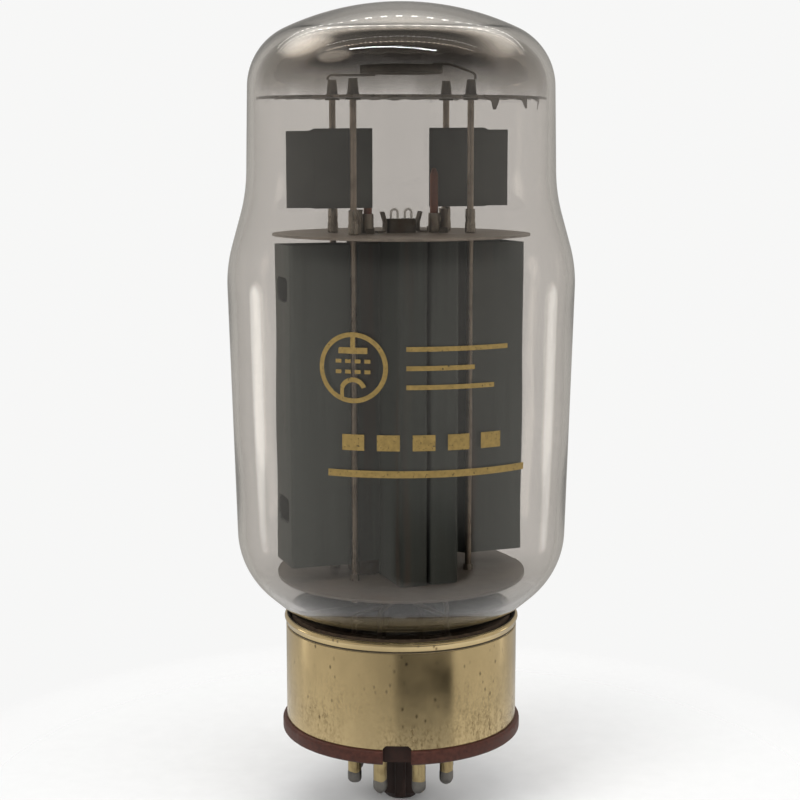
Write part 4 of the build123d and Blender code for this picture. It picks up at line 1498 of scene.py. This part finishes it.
class Studio(Nodes):
    """The surroundings under construction, as strengths in each direction."""

    def __init__(self, tree):
        super().__init__(tree)
        self.heading = self.add("ShaderNodeTexCoord").outputs["Generated"]
        self.split = self.add("ShaderNodeSeparateXYZ", i0=self.heading)

    def band(self, value, low, high, start, end):
        """A value taken smoothly from one range to another."""
        return self.fit(value, low, high, start, end, "SMOOTHSTEP")

    def along(self, direction):
        """How far a direction agrees with the one looked in."""
        return self.add("ShaderNodeVectorMath", "DOT_PRODUCT", i0=self.heading,
                        i1=direction).outputs["Value"]

    def near(self, direction, edge, core):
        """A soft round patch about a direction."""
        return self.band(self.along(Vector(direction).normalized()), edge, core, 0.0, 1.0)

    def beads(self, direction, reach, dots):
        """A row of small lights across a direction."""
        up = Vector(direction).normalized()
        off = self.calc("ABSOLUTE", self.along(Vector((0, -up.z, up.y))))
        along = self.along(up)
        slope = self.calc("DIVIDE", self.split.outputs["X"], along)
        end = self.calc("ABSOLUTE", slope)
        wave = self.calc("SINE", self.times(slope, dots))
        return self.times(self.band(off, 0.006, 0.014, 1.0, 0.0),
                          self.band(end, reach, reach * 1.05, 1.0, 0.0),
                          self.band(along, 0.0, 0.05, 0.0, 1.0),
                          self.band(wave, -0.1, 0.6, 0.03, 1.0))

    def dimmed(self, total, share):
        """A strength with a share of it taken away."""
        return self.times(total, self.calc("SUBTRACT", 1.0, share))


def studio_world(stage):
    """Pale surroundings to look at, and a banded studio for reflections only."""
    world = bpy.data.worlds.new("studio")
    bpy.context.scene.world = world
    world.use_nodes = True
    studio = Studio(world.node_tree)
    band, times = studio.band, studio.times
    y, z = studio.split.outputs["Y"], studio.split.outputs["Z"]
    side = studio.calc("ABSOLUTE", studio.split.outputs["X"])
    high_rear = times(band(z, 0.50, 0.66, 0.0, 1.0), band(z, 0.70, 0.88, 1.0, -0.30),
                      band(y, -0.1, 0.5, 0.0, 1.0), 1.1)
    high_front = times(band(z, 0.2, 0.65, 0.0, 1.0), band(y, 0.1, -0.25, 0.0, 1.0), 0.82)
    doorway = times(studio.near((0.40, -0.84, -0.34), 0.86, 0.92),
                    band(z, -0.25, -0.29, 0.0, 1.0), 0.99)
    total = studio.calc("ADD", band(side, 0.05, 0.9, 0.40, 0.62), high_rear)
    total = studio.dimmed(studio.dimmed(total, high_front), doorway)
    windows = (
        ((-0.60, 0.36, 0.69), 0.955, 0.985, 1.0),
        ((-0.62, -0.25, 0.74), 0.975, 0.99, 0.8),
        ((-0.93, 0.33, -0.16), 0.991, 0.998, 2.6),
        ((0.86, 0.50, -0.17), 0.991, 0.998, 1.6),
    )
    for direction, edge, core, power in windows:
        total = studio.calc("ADD", total, times(studio.near(direction, edge, core), power))
    for direction, reach in (((0, 0.76, 0.65), 0.85), ((0, -0.02, 1.0), 0.75)):
        total = studio.calc("ADD", total, times(studio.beads(direction, reach, 150.0), 6.0))
    pale = studio.add("ShaderNodeBackground", Color=(*stage.backdrop, 1))
    mirrored = studio.add("ShaderNodeBackground", Color=(1.0, 0.965, 0.90, 1), Strength=total)
    dim = studio.add("ShaderNodeBackground", Color=(1, 1, 1, 1), Strength=0.55 * stage.light)
    path = studio.add("ShaderNodeLightPath")
    reflected = studio.calc("MINIMUM", path.outputs["Glossy Depth"], 1.0)
    looked = studio.add("ShaderNodeMixShader", i0=reflected, i1=pale.outputs[0],
                        i2=mirrored.outputs[0])
    scattered = studio.calc("MINIMUM", path.outputs["Diffuse Depth"], 1.0)
    lit = studio.add("ShaderNodeMixShader", i0=scattered, i1=looked.outputs[0],
                     i2=dim.outputs[0])
    studio.feed(studio.tree.nodes["World Output"].inputs[0], lit.outputs[0])


def floor_finish():
    """Pale paper that fades into the surroundings."""
    finish = Finish("pale_floor")
    grain = finish.noise(240, detail=5.0)
    base = finish.blend(finish.fit(grain, 0.3, 0.7), (0.82, 0.82, 0.815), (0.85, 0.85, 0.845))
    finish.surface(Base_Color=base, Roughness=0.9, Specular_IOR_Level=0.1)
    finish.veil(finish.fit(finish.span(finish.place), 0.030, 0.095))
    return finish.material


class TUBE_OT_stage(Operator):
    """Set the floor, the soft lights and the camera"""

    bl_idname = "tube.stage"
    bl_label = "Stage"

    def execute(self, context):
        stage = context.scene.tube_stage
        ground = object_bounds()[0][2]
        rings = [(0, ground), *[(share * 0.8, ground) for share in (0.05, 0.1, 0.2, 0.4, 0.7, 1.0)]]
        floor = plain_object("floor", lathe(rings, 96))
        floor.data.materials.append(floor_finish())
        floor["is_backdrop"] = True
        studio_world(stage)
        soft_lamp("key_lamp", (-0.62, -0.70, 0.62), (0.5, 0.5), 5.0 * stage.light, shows=False)
        soft_lamp("fill_lamp", (0.75, -0.35, 0.35), (0.5, 0.7), 2.5 * stage.light, shows=False)
        soft_lamp("strip_lamp", (-0.05, -0.35, 0.85), (0.75, 0.03), 2.0 * stage.light)
        soft_lamp("rear_lamp", (0.25, 0.75, 0.55), (0.6, 0.4), 3.0 * stage.light, shows=False)
        camera_data = bpy.data.cameras.new("camera")
        camera_data.lens = stage.lens
        camera_data.sensor_width = 36.0
        camera_data.clip_start = 0.01
        camera = bpy.data.objects.new("camera", camera_data)
        camera.location = (stage.distance * math.sin(stage.swing) - 0.0002,
                           -stage.distance * math.cos(stage.swing), stage.height)
        camera.rotation_euler = (math.pi / 2 - stage.tilt, 0, stage.swing)
        context.scene.collection.objects.link(camera)
        context.scene.camera = camera
        context.scene.view_settings.view_transform = "Standard"
        return {"FINISHED"}


OPERATORS = (
    TUBE_OT_stage, TUBE_OT_bulb, TUBE_OT_getter_film, TUBE_OT_stem, TUBE_OT_shell, TUBE_OT_disc,
    TUBE_OT_cement, TUBE_OT_pins, TUBE_OT_micas, TUBE_OT_rods, TUBE_OT_anode, TUBE_OT_fins,
    TUBE_OT_grids, TUBE_OT_cathode, TUBE_OT_getter, TUBE_OT_leads, TUBE_OT_mark,
)


class TUBE_PT_panel(Panel):
    """Lists the tube's pieces and their settings"""

    bl_idname = "TUBE_PT_panel"
    bl_label = "Tube"
    bl_space_type = "VIEW_3D"
    bl_region_type = "UI"
    bl_category = "Tube"

    def draw(self, context):
        for operator in OPERATORS:
            self.layout.operator(operator.bl_idname)
        for name in SETTINGS:
            group = getattr(context.scene, name)
            box = self.layout.box()
            for field in group.bl_rna.properties:
                if field.identifier not in ("rna_type", "name"):
                    box.prop(group, field.identifier)


SETTINGS = {
    "tube_glass": TubeGlassSettings,
    "tube_base": TubeBaseSettings,
    "tube_cage": TubeCageSettings,
    "tube_mark": TubeMarkSettings,
    "tube_stage": TubeStageSettings,
}


def register():
    for settings in SETTINGS.values():
        bpy.utils.register_class(settings)
    for operator in OPERATORS:
        bpy.utils.register_class(operator)
    bpy.utils.register_class(TUBE_PT_panel)
    for name, settings in SETTINGS.items():
        setattr(bpy.types.Scene, name, PointerProperty(type=settings))


def unregister():
    for name in SETTINGS:
        delattr(bpy.types.Scene, name)
    for known in (TUBE_PT_panel, *OPERATORS, *SETTINGS.values()):
        bpy.utils.unregister_class(known)


def main():
    register()
    for operator in OPERATORS:
        group, name = operator.bl_idname.split(".")
        getattr(getattr(bpy.ops, group), name)()


if __name__ == "__main__":
    main()
